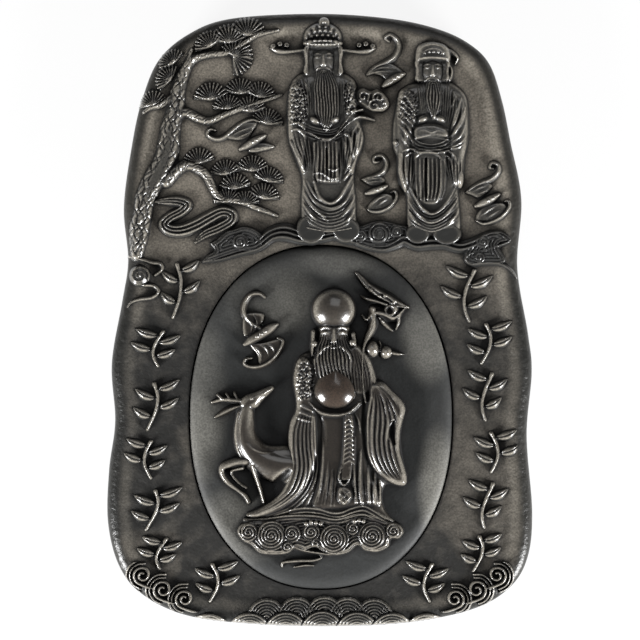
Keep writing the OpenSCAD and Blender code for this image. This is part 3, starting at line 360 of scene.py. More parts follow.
class Carving:
    """Stone left standing on a face: heights in mm above it, on a square grid of points. Where
    there is no carving the height is below the face."""
    bare_height = -0.8
    sink = 1.2

    def __init__(self, left, right, low_y, high_y, pitch=0.34, face="slab"):
        self.x, self.y = np.meshgrid(np.arange(left, right, pitch), np.arange(low_y, high_y, pitch))
        self.h = np.full(self.x.shape, self.bare_height)
        self.face = face

    def placed(self):
        """The grid's points as they lie on the stone, scaled from the drawn size to the slab's
        or moved with the lid's middle, and the height of the face at each."""
        if self.face == "slab":
            x, y = self.x * stretch[0], self.y * stretch[1]
            return x, y, slab_ground(x, y)
        x = self.x - drawn_lid_middle[0] + lid_middle[0]
        y = self.y - drawn_lid_middle[1] + lid_middle[1]
        return x, y, lid_ground(x, y)

    def part(self, points, margin):
        """The rows and columns of the grid within a margin of some points."""
        lo, hi = points.min(0) - margin, points.max(0) + margin
        x, y = self.x[0], self.y[:, 0]
        return (slice(*np.searchsorted(y, [lo[1], hi[1]])), slice(*np.searchsorted(x, [lo[0], hi[0]])))

    def along(self, path, beyond=1.6):
        """For each grid point near a path of x, y, half width and height: how far across it
        lies in half widths, how far along in mm, and the path's half width and height there."""
        line = curve(path)
        part = self.part(line[:, :2], line[:, 2].max() * beyond)
        x, y = self.x[part][..., None], self.y[part][..., None]
        a, run = line[:-1], np.diff(line, axis=0)
        length = np.hypot(run[:, 0], run[:, 1]) + 1e-6
        dx, dy = x - a[:, 0], y - a[:, 1]
        t = np.clip((dx * run[:, 0] + dy * run[:, 1]) / length**2, 0, 1)
        off = (dx - t * run[:, 0]) ** 2 + (dy - t * run[:, 1]) ** 2
        k = off.argmin(-1)[..., None]
        t, off = (np.take_along_axis(v, k, -1)[..., 0] for v in (t, off))
        k = k[..., 0]
        side = run[k, 0] * (y[..., 0] - a[k, 1]) - run[k, 1] * (x[..., 0] - a[k, 0])
        half = np.maximum(a[k, 2] + t * run[k, 2], 0.12)
        start = np.concatenate([[0], np.cumsum(length)])
        return (part, -np.sign(side) * np.sqrt(off) / half, start[k] + t * length[k], half,
                a[k, 3] + t * run[k, 3])

    def set_over(self, part, lift):
        """Raises the grid to the given heights where it lies lower."""
        self.h[part] = np.maximum(self.h[part], lift)

    def line(self, path, power=2.0, ribs=0, groove=0.15):
        """A raised line: height times one less the power of the distance across. Ribs cut
        grooves along it by a cosine."""
        part, across, _, _, height = self.along(path)
        cut = groove * (1 - np.cos(math.pi * ribs * (across + 1))) / 2 if ribs else 0
        self.set_over(part, height * (1 - np.abs(across) ** power - cut))

    def fold(self, path, soft=1.5):
        """A ridge, or for a negative height a groove, added to what already stands: height
        times the power of one less the square of the distance across."""
        part, across, _, _, height = self.along(path, 1.1)
        add = height * np.clip(1 - across**2, 0, 1) ** soft
        self.h[part] += np.where(self.h[part] > 0.15, add, 0)

    def folds(self, paths, width=0.8, height=0.6, taper=0.35):
        """Folds along plain x, y paths. Their width and height fall to a share at the ends, by
        the power 0.7 of a half wave of sine."""
        for path in paths:
            p = np.asarray(path, float)
            bell = taper + (1 - taper) * np.sin(np.linspace(0, math.pi, len(p))) ** 0.7
            self.fold(np.column_stack([p, width * np.maximum(bell, 0.3), height * bell]))

    def pair(self, middle, path, width, height, taper=0.35):
        """A fold to the right of an upright line at x = middle, and its mirror image."""
        self.folds([[(middle + side * x, y) for x, y in path] for side in (-1, 1)],
                   width, height, taper)

    def beard(self, path, strands, fall=0.42, wave=0.12, pace=0.55, bend=3):
        """A beard along a path: its section falls with the cube of the distance across, and
        its strands are a cosine across it that a sine makes sway."""
        part, across, far, half, height = self.along(path)
        sway = wave * np.sin(far * pace + bend * across)
        strand = np.cos(2 * math.pi * (across * strands + sway))
        outside = 9 * np.clip(np.abs(across) - 0.93, 0, 1) * half
        self.set_over(part, height * (1 - fall * np.abs(across) ** 3) + 0.42 * strand - outside)

    def dome(self, x, y, rx, ry, height, turn=0, steep=5.0):
        """A swelling: a half ellipsoid, with its foot cut back to a slope."""
        part = self.part(np.array([[x, y]]), max(rx, ry) * 1.2)
        c, s = math.cos(math.radians(turn)), math.sin(math.radians(turn))
        dx, dy = self.x[part] - x, self.y[part] - y
        r = np.hypot((dx * c + dy * s) / rx, (dy * c - dx * s) / ry)
        lift = height * np.minimum(np.sqrt(np.clip(1 - r * r, 0, 1)), (1 - r) * steep)
        self.set_over(part, lift)

    def edge(self, outline):
        """Distance in from a closed smooth outline, negative outside it, for the grid points
        round it: the least distance to any of its short sides, and a count of the sides that a
        line to the left of the point crosses."""
        loop = curve(outline, 5, closed=True)
        part = self.part(loop, 1.5)
        x, y = self.x[part][..., None], self.y[part][..., None]
        run = np.roll(loop, -1, 0) - loop
        dx, dy = x - loop[:, 0], y - loop[:, 1]
        t = np.clip((dx * run[:, 0] + dy * run[:, 1]) / ((run**2).sum(1) + 1e-9), 0, 1)
        away = np.sqrt(((dx - t * run[:, 0]) ** 2 + (dy - t * run[:, 1]) ** 2).min(-1))
        end_y = dy - run[:, 1]
        crosses = (dy < 0) != (end_y < 0)
        at = dx - run[:, 0] * dy / np.where(np.abs(run[:, 1]) < 1e-9, 1e-9, run[:, 1])
        inside = (crosses & (at < 0)).sum(-1) % 2 == 1
        return part, np.where(inside, away, -away)

    def form(self, outline, height, shoulder, steep=3.5, slope=(0, 0)):
        """A form inside an outline: a quarter-round shoulder of some width, level within it or
        tilted by so many mm per mm."""
        part, depth = self.edge(outline)
        share = np.clip(depth / shoulder, -9, 1)
        rise = np.minimum(np.sqrt(1 - (1 - np.clip(share, 0, 1)) ** 2), share * steep)
        middle = np.mean(np.asarray(outline, float), 0)
        top = height + slope[0] * (self.x[part] - middle[0]) + slope[1] * (self.y[part] - middle[1])
        self.set_over(part, top * rise)

    def beads(self, places, radius, height, base=0.0):
        """Small round beads that stand on a level base: height times the root of one less the
        square of the distance out."""
        for x, y in places:
            part = self.part(np.array([[x, y]]), radius * 1.1)
            r = np.hypot(self.x[part] - x, self.y[part] - y) / radius
            self.set_over(part, base + height * np.sqrt(np.clip(1 - r * r, 0, 1)) - 9 * (r > 1))

    def studs(self, places, radius, height):
        """Beads added to what already stands, or for a negative height dents: height times
        one less the square of the distance out."""
        for x, y in places:
            part = self.part(np.array([[x, y]]), radius * 1.1)
            r = np.hypot(self.x[part] - x, self.y[part] - y) / radius
            self.h[part] += height * np.clip(1 - r * r, 0, 1)

    def hollow(self):
        """How far each point lies below the stone round it, in units of 0.6 mm: below the mean
        of a row of seven points, taken along both axes twice."""
        height = np.maximum(self.h, 0)
        mean = height
        count, unit = 7, 0.6
        for axis in (0, 1, 0, 1):
            margin = [(0, 0), (0, 0)]
            margin[axis] = (count // 2 + 1, count // 2)
            total = np.cumsum(np.pad(mean, margin, "edge"), axis)
            steps = np.arange(mean.shape[axis])
            mean = (np.take(total, steps + count, axis) - np.take(total, steps, axis)) / count
        return (mean - height) / unit

    def drape(self, first, last, count, width=0.5, height=0.65, taper=0.4):
        """Folds spread evenly from one path to another that has as many points."""
        first, last = np.array(first, float), np.array(last, float)
        self.folds([first + (last - first) * share for share in np.linspace(0, 1, count)],
                   width, height, taper)

    def brocade(self, outline, pitch=2.4, height=0.45):
        """Curling brocade marks within an outline, added to what stands there: the product of
        two sines, each bent by the other."""
        part, depth = self.edge(outline)
        over, up = self.x[part] * 2 * math.pi / pitch, self.y[part] * 2 * math.pi / pitch
        marks = np.sin(over + 1.3 * np.sin(0.7 * up)) * np.sin(up + 1.3 * np.sin(0.8 * over + 1))
        self.h[part] += height * np.sign(marks) * np.abs(marks) ** 0.6 * np.clip(depth / 0.6, 0, 1)

    def swirls(self, outline, height, curls, pitch=1.25, groove=0.55):
        """A cloud's body: grooves that follow its outline at even steps in, and inside each
        curl's x, y and radius a groove that winds out by one step a turn, on a rounded back."""
        part, depth = self.edge(outline)
        x, y = self.x[part], self.y[part]
        away, reach, turn = np.full(x.shape, 9.0), np.full(x.shape, 1.0), np.zeros(x.shape)
        for middle_x, middle_y, radius in curls:
            share = np.hypot(x - middle_x, y - middle_y) / radius
            nearer = share < away
            reach = np.where(nearer, radius, reach)
            turn = np.where(nearer, np.arctan2(y - middle_y, x - middle_x) / (2 * math.pi), turn)
            away = np.where(nearer, share, away)
        steps = np.where(away < 1, away * reach + pitch * turn, depth)
        rings = 0.5 - 0.5 * np.cos(2 * math.pi * steps / pitch)
        back = 0.22 * reach * np.sqrt(np.clip(1 - away**2, 0, 1))
        self.set_over(part, np.minimum(height + back - groove * (1 - rings), depth * 3.5))

    def die_out(self, fall):
        """Lowers the carving to nothing where the slab's own face has fallen so far at its edge:
        the carving is kept under 0.9 of what is left of the fall."""
        _, _, ground = self.placed()
        self.h = np.minimum(self.h, (ground - high[2] + fall) * 0.9)

    def piece(self, name, node, finish):
        """The mesh: the grid's cells that hold stone, the same cells a little below the face,
        and walls between the two sheets round the border. A cell is added wherever two cells
        would meet at a corner alone."""
        h = self.h
        keep = np.maximum.reduce([h[:-1, :-1], h[1:, :-1], h[:-1, 1:], h[1:, 1:]]) > 0
        for _ in range(3):
            a, b, c, d = keep[:-1, :-1], keep[:-1, 1:], keep[1:, :-1], keep[1:, 1:]
            cross = (a & d & ~b & ~c) | (b & c & ~a & ~d)
            for block in (a, b, c, d):
                block |= cross
        k = np.arange(h.size).reshape(h.shape)
        a, b, c, d = k[:-1, :-1], k[:-1, 1:], k[1:, 1:], k[1:, :-1]
        top = np.stack([a, b, c, d], -1)[keep]
        faces = [top, top[:, ::-1] + h.size]
        framed = np.pad(keep, 1)
        for dy, dx, p, q in [(-1, 0, a, b), (0, 1, b, c), (1, 0, c, d), (0, -1, d, a)]:
            border = keep & ~framed[1 + dy:1 + dy + keep.shape[0], 1 + dx:1 + dx + keep.shape[1]]
            p, q = p[border], q[border]
            faces.append(np.stack([p + h.size, q + h.size, q, p], -1))
        faces = np.concatenate(faces)
        used, corners = np.unique(faces, return_inverse=True)
        x, y, ground = (v.ravel() for v in self.placed())
        both = np.concatenate([np.stack([x, y, ground + h.ravel()], -1),
                               np.stack([x, y, ground - self.sink], -1)])[used] / 1000
        made = mesh_piece(name, both, corners.ravel(), np.arange(0, faces.size, 4))
        hollow = np.concatenate([self.hollow().ravel(), np.zeros(h.size)])[used]
        made.data.attributes.new("hollow", "FLOAT", "POINT").data.foreach_set("value", hollow)
        made.data.materials.append(finish)
        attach(made, "stone" if self.face == "slab" else "lid")
        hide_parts(node)


trunk = Carving(-84, -10, 23, 123)
bole = [(-76, 27, 3.0, 2.8), (-75.2, 32, 3.9, 3.1), (-74.6, 38, 4.5, 3.3), (-73.3, 44, 4.0, 3.5),
        (-72.4, 50, 4.4, 3.7), (-68.6, 58, 4.8, 3.8), (-65, 64, 5.0, 3.7), (-63, 70, 5.0, 3.6),
        (-61.7, 80, 4.3, 3.4), (-59.5, 88, 3.7, 3.2), (-58.8, 95, 3.3, 3.0), (-56.8, 101, 2.6, 2.8),
        (-54.6, 106, 1.9, 2.6), (-53, 112, 0.8, 1.7)]
part, across, far, half, height = trunk.along(bole)
lean_one = across * half / 2.5 + far / 5.6 + 0.22 * np.sin(far * 1.1 + 2 * across)
lean_two = across * half / 2.3 - far / 6.2 + 0.25 * np.sin(far * 0.8 - 3 * across)
plates = np.minimum(np.abs(np.sin(math.pi * lean_one)), np.abs(np.sin(math.pi * lean_two)))
rough_skin = 0.16 * np.sin(far * 4.1 + 5 * across) * np.sin(across * half * 4.6 + far)
trunk.set_over(part, height * (1 - np.abs(across) ** 2.6) - 0.65 + 1.05 * plates ** 0.55 + rough_skin)
branches = [
    [(-57, 101, 1.9, 2.6), (-53, 107.6, 1.4, 2.4), (-46, 110, 1.1, 2.2), (-38, 111, 1.0, 2.1),
     (-31, 115, 0.9, 2.0), (-26, 118, 0.8, 1.8), (-17, 120, 0.4, 1.4)],
    [(-61, 83.5, 2.0, 2.7), (-56, 86, 1.6, 2.6), (-50, 83.5, 1.4, 2.4), (-46, 82.5, 1.2, 2.3),
     (-42, 84, 1.1, 2.2), (-36, 86.5, 1.0, 2.1), (-26, 90, 0.8, 1.9), (-20, 92, 0.7, 1.7),
     (-15.5, 93.5, 0.4, 1.4)],
    [(-64, 57.5, 2.2, 2.8), (-58, 63, 1.8, 2.7), (-54, 64, 1.6, 2.6), (-50, 62.4, 1.5, 2.5),
     (-47, 60, 1.5, 2.4), (-45, 56, 1.4, 2.3), (-43, 52.5, 1.3, 2.2), (-40, 50.2, 1.2, 2.1),
     (-32, 49, 1.1, 2.1), (-25, 46, 0.9, 1.9), (-22, 45, 0.8, 1.7), (-17.5, 43.2, 0.5, 1.4)],
    [(-60, 92.5, 1.6, 2.4), (-66, 89, 1.1, 2.0), (-70, 88, 0.9, 1.8), (-73, 86, 0.5, 1.4)]]
for branch in branches:
    part, across, far, half, height = trunk.along([(x, y, w * 1.45, h) for x, y, w, h in branch])
    marks = np.abs(np.sin(math.pi * (across * 1.1 + far / 2.6 + 0.3 * np.sin(far * 1.7))))
    trunk.set_over(part, height * (1 - np.abs(across) ** 2.4) - 0.45 + 0.75 * marks ** 0.6)
for knot in [(-69.5, 57.5, 1.9, 1.5, 4.5, 60), (-62.6, 77, 1.8, 1.4, 4.3, 80),
             (-58.6, 91, 1.3, 1, 3.6, 80)]:
    trunk.dome(*knot)
    trunk.studs([knot[:2]], 0.9, -0.9)
carved_stone = stone("carved_stone", (0.02, 0.02, 0.0185), (0.05, 0.047, 0.041), 0.3, 0.4, 0.75)
trunk.die_out(5)
trunk.piece("pine_trunk_carved", "pine_trunk", carved_stone)

# Pine tufts: fans of needles that overlap like fish scales, each cut with ribs that spread
# from its foot. They are worked from the slab like the trunk, and no deeper than its branches.
tufts = Carving(-78, -12, 40, 127)
fans = [
    (-45, 113, 118, 1, 2.6), (-37.5, 114.5, 92, 1.15, 2.5), (-30, 117.5, 85, 1.15, 2.3),
    (-35.5, 109, 70, 1, 2.9), (-36, 109.5, -8, 1.2, 2.4), (-60.5, 106, 125, 0.9, 2.3),
    (-61.5, 99, 140, 0.95, 2.5), (-69, 88.5, 105, 0.95, 2.4), (-45, 91, 95, 1.1, 2.4),
    (-33, 93.5, 92, 1, 2.3), (-25, 92, 80, 1, 2.5), (-38, 87, 95, 0.95, 2.7),
    (-29, 86, 88, 1, 2.6), (-22, 81, 78, 1, 2.4), (-50, 64.5, 100, 1, 2.4),
    (-39, 60, 98, 0.95, 2.3), (-28, 61.5, 90, 1, 2.4), (-21.5, 57, 78, 0.95, 2.6),
    (-35, 54, 95, 1, 2.6), (-23.5, 50, 80, 1, 2.7), (-38, 48.5, 100, 0.9, 2.8),
    (-31, 47.5, 88, 0.9, 2.9)]
fan_radius, needles, half_angle, widest_turn = 7.3, 11, 78, 150
for foot_x, foot_y, aim, size, height in fans:
    radius = fan_radius * size
    part = tufts.part(np.array([[foot_x, foot_y]]), radius * 1.15)
    dx, dy = tufts.x[part] - foot_x, tufts.y[part] - foot_y
    r = np.hypot(dx, dy)
    turn = (np.degrees(np.arctan2(dy, dx)) - aim + 180) % 360 - 180
    swing = turn / widest_turn * needles
    rim = radius * (1 - 0.11 * (1 - np.cos(2 * math.pi * swing)) / 2)
    sideways = np.radians(half_angle - np.abs(turn)) * np.maximum(r, 0.5) + 0.4
    inward = np.minimum(rim - r, sideways)
    rib = 0.5 + 0.5 * np.cos(2 * math.pi * swing)
    lift = height * (1.02 - 0.42 * r / radius) - 1.1 * (1 - rib) * np.clip(r / radius * 2, 0, 1)
    lift -= 0.35 * np.exp(-((rim - r - 1.0) / 0.35) ** 2)
    tufts.set_over(part, np.minimum(lift, inward * 3.2))
tufts.line([(-26, 70.4, 0.5, 1.2), (-22.4, 71.4, 1.4, 2.0), (-18.6, 71.8, 0.3, 1.2)])
tufts.die_out(5)
tufts.piece("pine_tufts_carved", "pine_tufts", carved_stone)

# Official: a standing figure in a long gown, carved from the slab, with a beaded hat that has
# two stiff wings, and a sceptre with a cloud-shaped head. The face is a plain one on even
# proportions.
hat = Carving(-22, 31, 34, 127, 0.32)
hat.form([(-7, 102.6), (1, 104), (9, 102.8), (13, 101), (15.6, 97.5), (16.4, 90), (17, 83),
          (18.7, 76), (18.2, 72), (16.6, 68), (15, 63), (14.6, 57), (15.2, 50), (15.4, 44),
          (14.8, 36), (4, 34.6), (-7, 36), (-8, 44), (-8, 52), (-7.6, 58), (-8.8, 63), (-11, 69),
          (-13.2, 75), (-13.7, 82), (-13.7, 91), (-12.2, 98), (-10, 101)], 4.0, 5.5, slope=(0, 0.012))
hat.form([(-12.4, 97), (-8, 99), (-5, 94), (-4.6, 84), (-4, 76), (-5, 69), (-6.4, 61), (-7.6, 61),
          (-10.6, 69), (-13, 75), (-13.4, 86)], 5.0, 3.2)
hat.form([(10, 99), (14, 97), (15.8, 90), (16.8, 82), (18.4, 76), (17.6, 71), (15.4, 66),
          (14, 60), (10.6, 62), (8.6, 70), (8.4, 78), (9.4, 88)], 5.0, 3.2)
hat.brocade([(-13, 96), (-9, 98.6), (-5.4, 94), (-5, 84), (-7, 80.4), (-13, 81), (-13.6, 90)])
hat.brocade([(10.2, 98), (14.4, 96), (15.8, 90), (16.4, 85.6), (11, 85), (9.6, 90)])
hat.folds([[(-12.6, y + 0.6), (-9.6, y + 1.4), (-7.2, y), (-5.6, y - 2.4)] for y in (80, 77.4)], 0.8, 0.8)
hat.folds([[(-7, y + 2), (-5.4, y), (-4.6, y - 3)] for y in (97, 92, 87)], 0.6, 0.5)
hat.folds([[(-12.2, 73.4), (-10.4, 69.4), (-8.2, 65), (-6.9, 61.6)]], 1.7, 1.5, 0.7)
hat.drape([(-13.2, 79), (-12, 73.6), (-9.6, 68), (-7.4, 62)],
          [(-5.2, 77), (-4.4, 72.4), (-3.8, 67.6), (-3.4, 61)], 6)
hat.drape([(18, 80), (17.4, 75.4), (16.2, 70), (13.4, 64)], [(9, 78), (9.6, 73), (9.4, 67.6), (9.2, 61.6)],
          7, 0.5, 0.7)
hat.folds([[(15.6, 97), (13.4, 93.4), (12.6, 90)], [(14.8, 91.6), (12.6, 88.6), (11.6, 86)],
           [(16.2, 88), (13.6, 86), (11, 85.4)]], 0.9, 0.7)
hat.folds([[(17.4, 80), (15.6, 76.4), (15.2, 72), (16, 69.4)],
           [(15.4, 80.6), (13.4, 76.6), (13, 71.8), (14, 67.6)],
           [(9, 77), (11.6, 76.4), (13, 73.6), (12.4, 70)], [(9.6, 74.4), (10.6, 72), (10.2, 68)]],
          0.8, 0.8)
hat.folds([[(15.2, 67), (13.6, 63.4), (11.6, 60), (10, 58)], [(12.8, 68), (12, 64), (10.4, 60.6)]],
          1.0, 1.1, 0.5)
# Skirt: the dark panel under the belt, the pleated apron and the folds that hang in loops
hat.form([(-3, 74.4), (8, 74.6), (8.4, 66), (8.6, 57.4), (5, 55.8), (0, 56.4), (-2.4, 58), (-3, 66)],
         4.9, 1.6)
hat.drape([(-2.4, 73.6), (-2.2, 68), (-2.6, 62), (-2.4, 57)],
          [(8.2, 73.6), (8.4, 68), (8.6, 62), (8.2, 57)], 8, 0.5, 0.75, 0.7)
hat.fold([(2.7, 71, 0.5, -1.4), (2.8, 66, 0.6, -1.8), (2.7, 62, 0.4, -1.0)])
hat.folds([[(3.2, 62.6), (5.8, 61.8), (8.2, 62.8)], [(-2.6, 60.4), (0.2, 60.8), (2.6, 59.6), (5, 58.2),
                                                     (7.6, 58.8)]], 0.6, 0.6, 0.6)
hat.folds([[(-2.4, 57.4), (-0.4, 51.4), (4, 48.2), (8, 50.2), (11, 55), (13.4, 59.6)]], 1.0, 1.3, 0.6)
hat.folds([[(-6.8, 58), (-3.2, 50.4), (1.8, 46.8), (6.2, 46.4), (10.8, 49.4), (14.2, 56.6)],
           [(-7, 53.6), (-3.6, 47.6), (0.8, 43.4), (3.4, 40.6)], [(14.8, 52), (12.2, 46.4), (9, 43)],
           [(-7, 48.4), (-4.2, 44.4), (-1.4, 40.8)], [(-5.4, 57.6), (-1.8, 51.2), (2.6, 47.6)],
           [(14.6, 46), (12.6, 42.4), (11, 40.6)]], 0.9, 0.9, 0.4)
hat.drape([(-7, 57), (-2.6, 49), (3, 45.4), (9, 47), (14.2, 54)],
          [(-7.4, 44), (-3, 39.6), (3, 37.4), (9.4, 38.6), (14.8, 42.6)], 7, 0.45, 0.6)
hat.drape([(-7.4, 38.6), (3.6, 36.6), (14.4, 38.2)], [(-7, 37), (3.6, 35.4), (14.2, 36.8)],
          2, 0.5, 0.7, 0.8)
hat.drape([(-9.6, 99.6), (-7, 92), (-6.4, 84)], [(-5, 100), (-3.8, 92), (-4, 85)], 4, 0.45, 0.6)
hat.drape([(8.6, 100), (8.8, 92), (8.6, 85)], [(13, 98.6), (11.6, 92), (11, 84)], 4, 0.45, 0.6)
hat.drape([(-10, 84), (-3.6, 80), (5, 78.6), (11, 82)], [(-8, 77.4), (-2, 74.8), (5, 74.4), (12.6, 78)],
          5, 0.5, 0.65)
# Beard, face, belt and hands
hat.beard([(1.6, 101.6, 4.2, 5.2), (2.3, 97, 6.0, 5.8), (2.8, 91, 6.5, 6.0), (3, 86.4, 6.2, 5.8),
           (3, 82.6, 4.8, 5.6), (2.8, 79, 1.6, 5.2)], 5.5)
hat.form([(-5.6, 100.6), (-6.2, 107), (-5.6, 114), (8.6, 114), (9.2, 107), (8.6, 100.6)], 3.8, 1)
for side in (-1, 1):
    hat.drape([(1.5 + 4.2 * side, 113), (1.5 + 4.8 * side, 107), (1.5 + 4.2 * side, 101)],
              [(1.5 + 5.6 * side, 113), (1.5 + 5.9 * side, 107), (1.5 + 5.6 * side, 101)], 3, 0.35, 0.5)
hat.dome(1.5, 107, 5.5, 7.2, 6.0, steep=4)
hat.pair(1.5, [(4.1, 109.4), (2.5, 110.1), (1.1, 109.6)], 0.5, 0.5, 0.6)
hat.pair(1.5, [(3.9, 108.2), (2.6, 108.5), (1.3, 108.1)], 0.6, 0.45, 0.6)
hat.fold([(1.5, 109.4, 0.6, 0.4), (1.5, 106.6, 0.7, 0.8), (1.5, 105.4, 1.1, 1.1), (1.5, 104.7, 0.4, 0.3)])
hat.folds([[(0, 103.1), (1.5, 102.8), (3, 103.1)]], 0.45, 0.5)
hat.pair(1.5, [(0.3, 104.2), (2.5, 103.6), (4.5, 101.6)], 0.5, 0.7)
for side in (-1, 1):
    hat.line([(1.5 + 6.2 * side, 113.4, 0.9, 4.6), (1.5 + 6.7 * side, 108, 1.1, 4.8),
              (1.5 + 6.4 * side, 102, 0.8, 4.6)], 2, 2, 0.12)
hat.line([(-8, 78.6, 0.8, 5.2), (-3.6, 77, 0.9, 5.7), (0.4, 75, 1.0, 5.9), (5, 75, 1.0, 5.9),
          (8.4, 77.8, 1.0, 5.8), (12, 81.4, 1.1, 5.6), (16.6, 84, 1.1, 5.0), (22.6, 82.8, 0.6, 2.6)],
         2, 2, 0.12)
hat.line([(7, 77, 0.6, 5.4), (10.6, 81.8, 0.8, 5.6), (13.6, 85.6, 0.8, 5.4), (17.6, 87, 0.8, 4.6)], 2)
hat.dome(-2, 82.4, 3.6, 2.2, 6.0, -30)
hat.dome(6, 82.6, 3.4, 2.4, 6.0, 30)
hat.folds([[(-3.6, 83.4), (-1.8, 81.4), (-0.6, 80.2)], [(-2.4, 84.4), (-0.6, 82.6), (0.4, 81.2)],
           [(7.6, 83.4), (6, 81.4), (4.8, 80.2)]], 0.4, -0.4)
# Sceptre
hat.form([(14, 92), (15, 95), (18, 96.2), (21, 95), (24, 95.8), (26.8, 93.8), (28.6, 91), (29, 88.6),
          (26.6, 86.4), (22, 86.2), (18.6, 87.6), (15.2, 89.6)], 3.4, 1.6)
t = np.linspace(0, 1, 9)
for middle, start, hand in [((18, 92.4), -40, 1), ((24.4, 92), 200, -1), ((22.6, 88.6), 90, 1)]:
    swing = np.radians(start + hand * 400 * t)
    r = 2.6 * (1 - 0.8 * t)
    hat.fold(np.column_stack([middle[0] + r * np.cos(swing), middle[1] + r * np.sin(swing),
                              0 * t + 0.55, 0 * t + 0.9]))
hat.studs([(16.4, 90.6), (20.6, 93.8), (26.8, 89.8), (21, 90.4), (25, 87.6)], 0.8, 0.7)
# Hat
hat.dome(1.2, 117, 8.4, 6.4, 4.8, steep=4)
hat.form([(-6, 115.4), (1.3, 116.2), (8.6, 115.4), (8.8, 113.4), (1.4, 112), (-6.2, 113.4)], 5.8, 1.4)
hat.folds([[(-6.4, 115.6), (-2.6, 115.4), (1.3, 115.3), (5.2, 115.4), (9, 115.6)],
           [(-5.8, 113.2), (-2, 112.5), (1.4, 112.3), (4.8, 112.5), (8.4, 113.2)]], 0.6, 0.7, 0.8)
hat.studs([(x, 113.8 - 0.01 * (x - 1.4) ** 2) for x in np.linspace(-4.8, 7.6, 9)], 0.6, 0.7)
for high_y, spread, count in [(115.6, 7.4, 8), (117.6, 6.6, 7), (119.6, 5.4, 6), (121.4, 3.6, 4)]:
    hat.studs([(1.2 + spread * s, high_y - 0.9 * s * s) for s in np.linspace(-1, 1, count)], 0.85, 0.9)
hat.form([(-0.4, 120), (-0.6, 123.4), (0.6, 125.2), (3, 125.2), (4.2, 123.4), (4, 120)], 3.8, 1.2)
hat.studs([(1.8, 123.2)], 1.1, 0.8)
for side in (-1, 1):
    hat.line([(1.3 + 6.6 * side, 112, 0.8, 3.6), (1.3 + 12 * side, 111.4, 0.8, 2.6),
              (1.3 + 16 * side, 111.2, 1.2, 2.4), (1.3 + 19 * side, 111.6, 1.3, 2.2),
              (1.3 + 21.8 * side, 112.6, 0.4, 1.6)], 2)
    hat.beads([(1.3 + x * side, y) for x, y in [(15, 113.9), (17.8, 114.4), (20.6, 113.5)]], 1.25, 2.4)
    hat.studs([(1.3 + x * side, y) for x, y in [(15, 113.9), (17.8, 114.4), (20.6, 113.5)]], 0.6, -0.9)
hat.piece("hat_figure_carved", "hat_figure", carved_stone)

# Scholar: a standing figure in a soft cap, carved from the slab, hands joined in wide sleeves,
# with a sash and a pleated skirt. The face is the same plain kind.
cap = Carving(29, 63, 34, 117, 0.32)
cap.form([(40, 98.6), (46.5, 100), (53, 99.4), (57, 97.2), (60.2, 94), (61.6, 90), (62.1, 82),
          (61.9, 74), (60.6, 68), (59.8, 60), (57.8, 54.6), (58.2, 46), (58.6, 38), (56, 34.6), (46, 34),
          (38, 34.6), (35.8, 38), (35.8, 48), (35.4, 52), (33.4, 54.6), (31.8, 60), (31.6, 67), (30, 72),
          (29.9, 80), (30.8, 86), (31.6, 91), (32.8, 95), (36, 97.4)], 4.0, 5.5, slope=(0, 0.012))
cap.form([(33, 95), (38, 96), (41, 90), (41.5, 83), (39, 76), (38.5, 68), (38, 60), (36.4, 53),
          (34.4, 53.6), (32.4, 60), (32, 68), (31, 76), (31.4, 86)], 5.0, 3.2)
cap.form([(54, 96), (59, 93.6), (61, 88), (61.6, 80), (61, 72), (59.6, 65), (59, 58), (57, 54.6),
          (54.4, 56), (53, 64), (52.6, 72), (53.4, 80), (53, 89)], 5.0, 3.2)
cap.folds([[(33.4 + k, 94.4 - 0.34 * k), (36 + k * 0.7, 91.6 - k * 0.9), (38.6 + k * 0.3, 88 - k)]
           for k in (0, 1.2, 2.4)], 0.5, 0.6)
cap.folds([[(32.2, y), (34.4, y - 1.8), (37, y - 4.6), (39.6, y - 7.6)]
           for y in (92, 89.4, 86.6, 83.8, 81)], 0.55, 0.6)
cap.folds([[(33.8, 79.6), (35.6, 77.2), (37.8, 74.4), (39.2, 71.6)], [(34.8, 80.6), (36.8, 78.4), (39, 76)],
           [(33.4, 76.6), (34.6, 74.4), (36.6, 71.6)]], 0.6, 0.8)
cap.folds([[(34.6, 80), (35.4, 76), (35.2, 72.4)]], 1.1, 0.9)
cap.folds([[(58.4, 92), (57, 87), (55.4, 82), (53.8, 77)], [(60, 88), (58.6, 83), (56.6, 79), (54, 75.4)]],
          0.8, 0.9)
cap.folds([[(60.6, 83), (59.2, 78), (57, 75), (53.4, 72.8)],
           [(61, 77), (58.6, 73.6), (55, 71.6), (51.6, 70.8)], [(59.6, 72.8), (56.6, 71), (53, 70.6)],
           [(57.2, 86), (56.2, 82.6), (54.6, 79.2)]], 0.55, 0.7)
cap.folds([[(54.2, 94), (53.8, 90), (53, 86.4)], [(56.6, 93.6), (55.2, 89.6), (53.6, 86)]], 0.5, 0.5)
cap.folds([[(33.8, 68.6), (33.4, 63), (34, 58.6), (35.4, 54.4)]], 1.2, 1.1, 0.5)
cap.drape([(32.8, 69), (32.6, 62), (34.4, 56)], [(39.2, 68), (38.8, 61), (38, 55)], 6)
cap.drape([(51.6, 69), (52.6, 62), (54.6, 56)], [(60, 66), (59.6, 60), (58.2, 55.6)], 7)
cap.drape([(60.6, 89), (59, 82), (54.8, 75.6)], [(54, 94), (54, 87), (52.8, 80)], 6, 0.5, 0.6)
cap.brocade([(33, 94), (37, 96), (40.6, 92), (41, 84), (37, 82), (31.6, 84)], 2.2, 0.35)
cap.folds([[(34, 69.4), (36.4, 70.6), (39.4, 70.4), (41.4, 69)], [(35.2, 67.4), (37, 68.8), (39.6, 69)],
           [(35.6, 66), (35.6, 61), (36.4, 56)], [(37.6, 67), (37.4, 61), (37.6, 56.4)]], 0.6, 0.75)
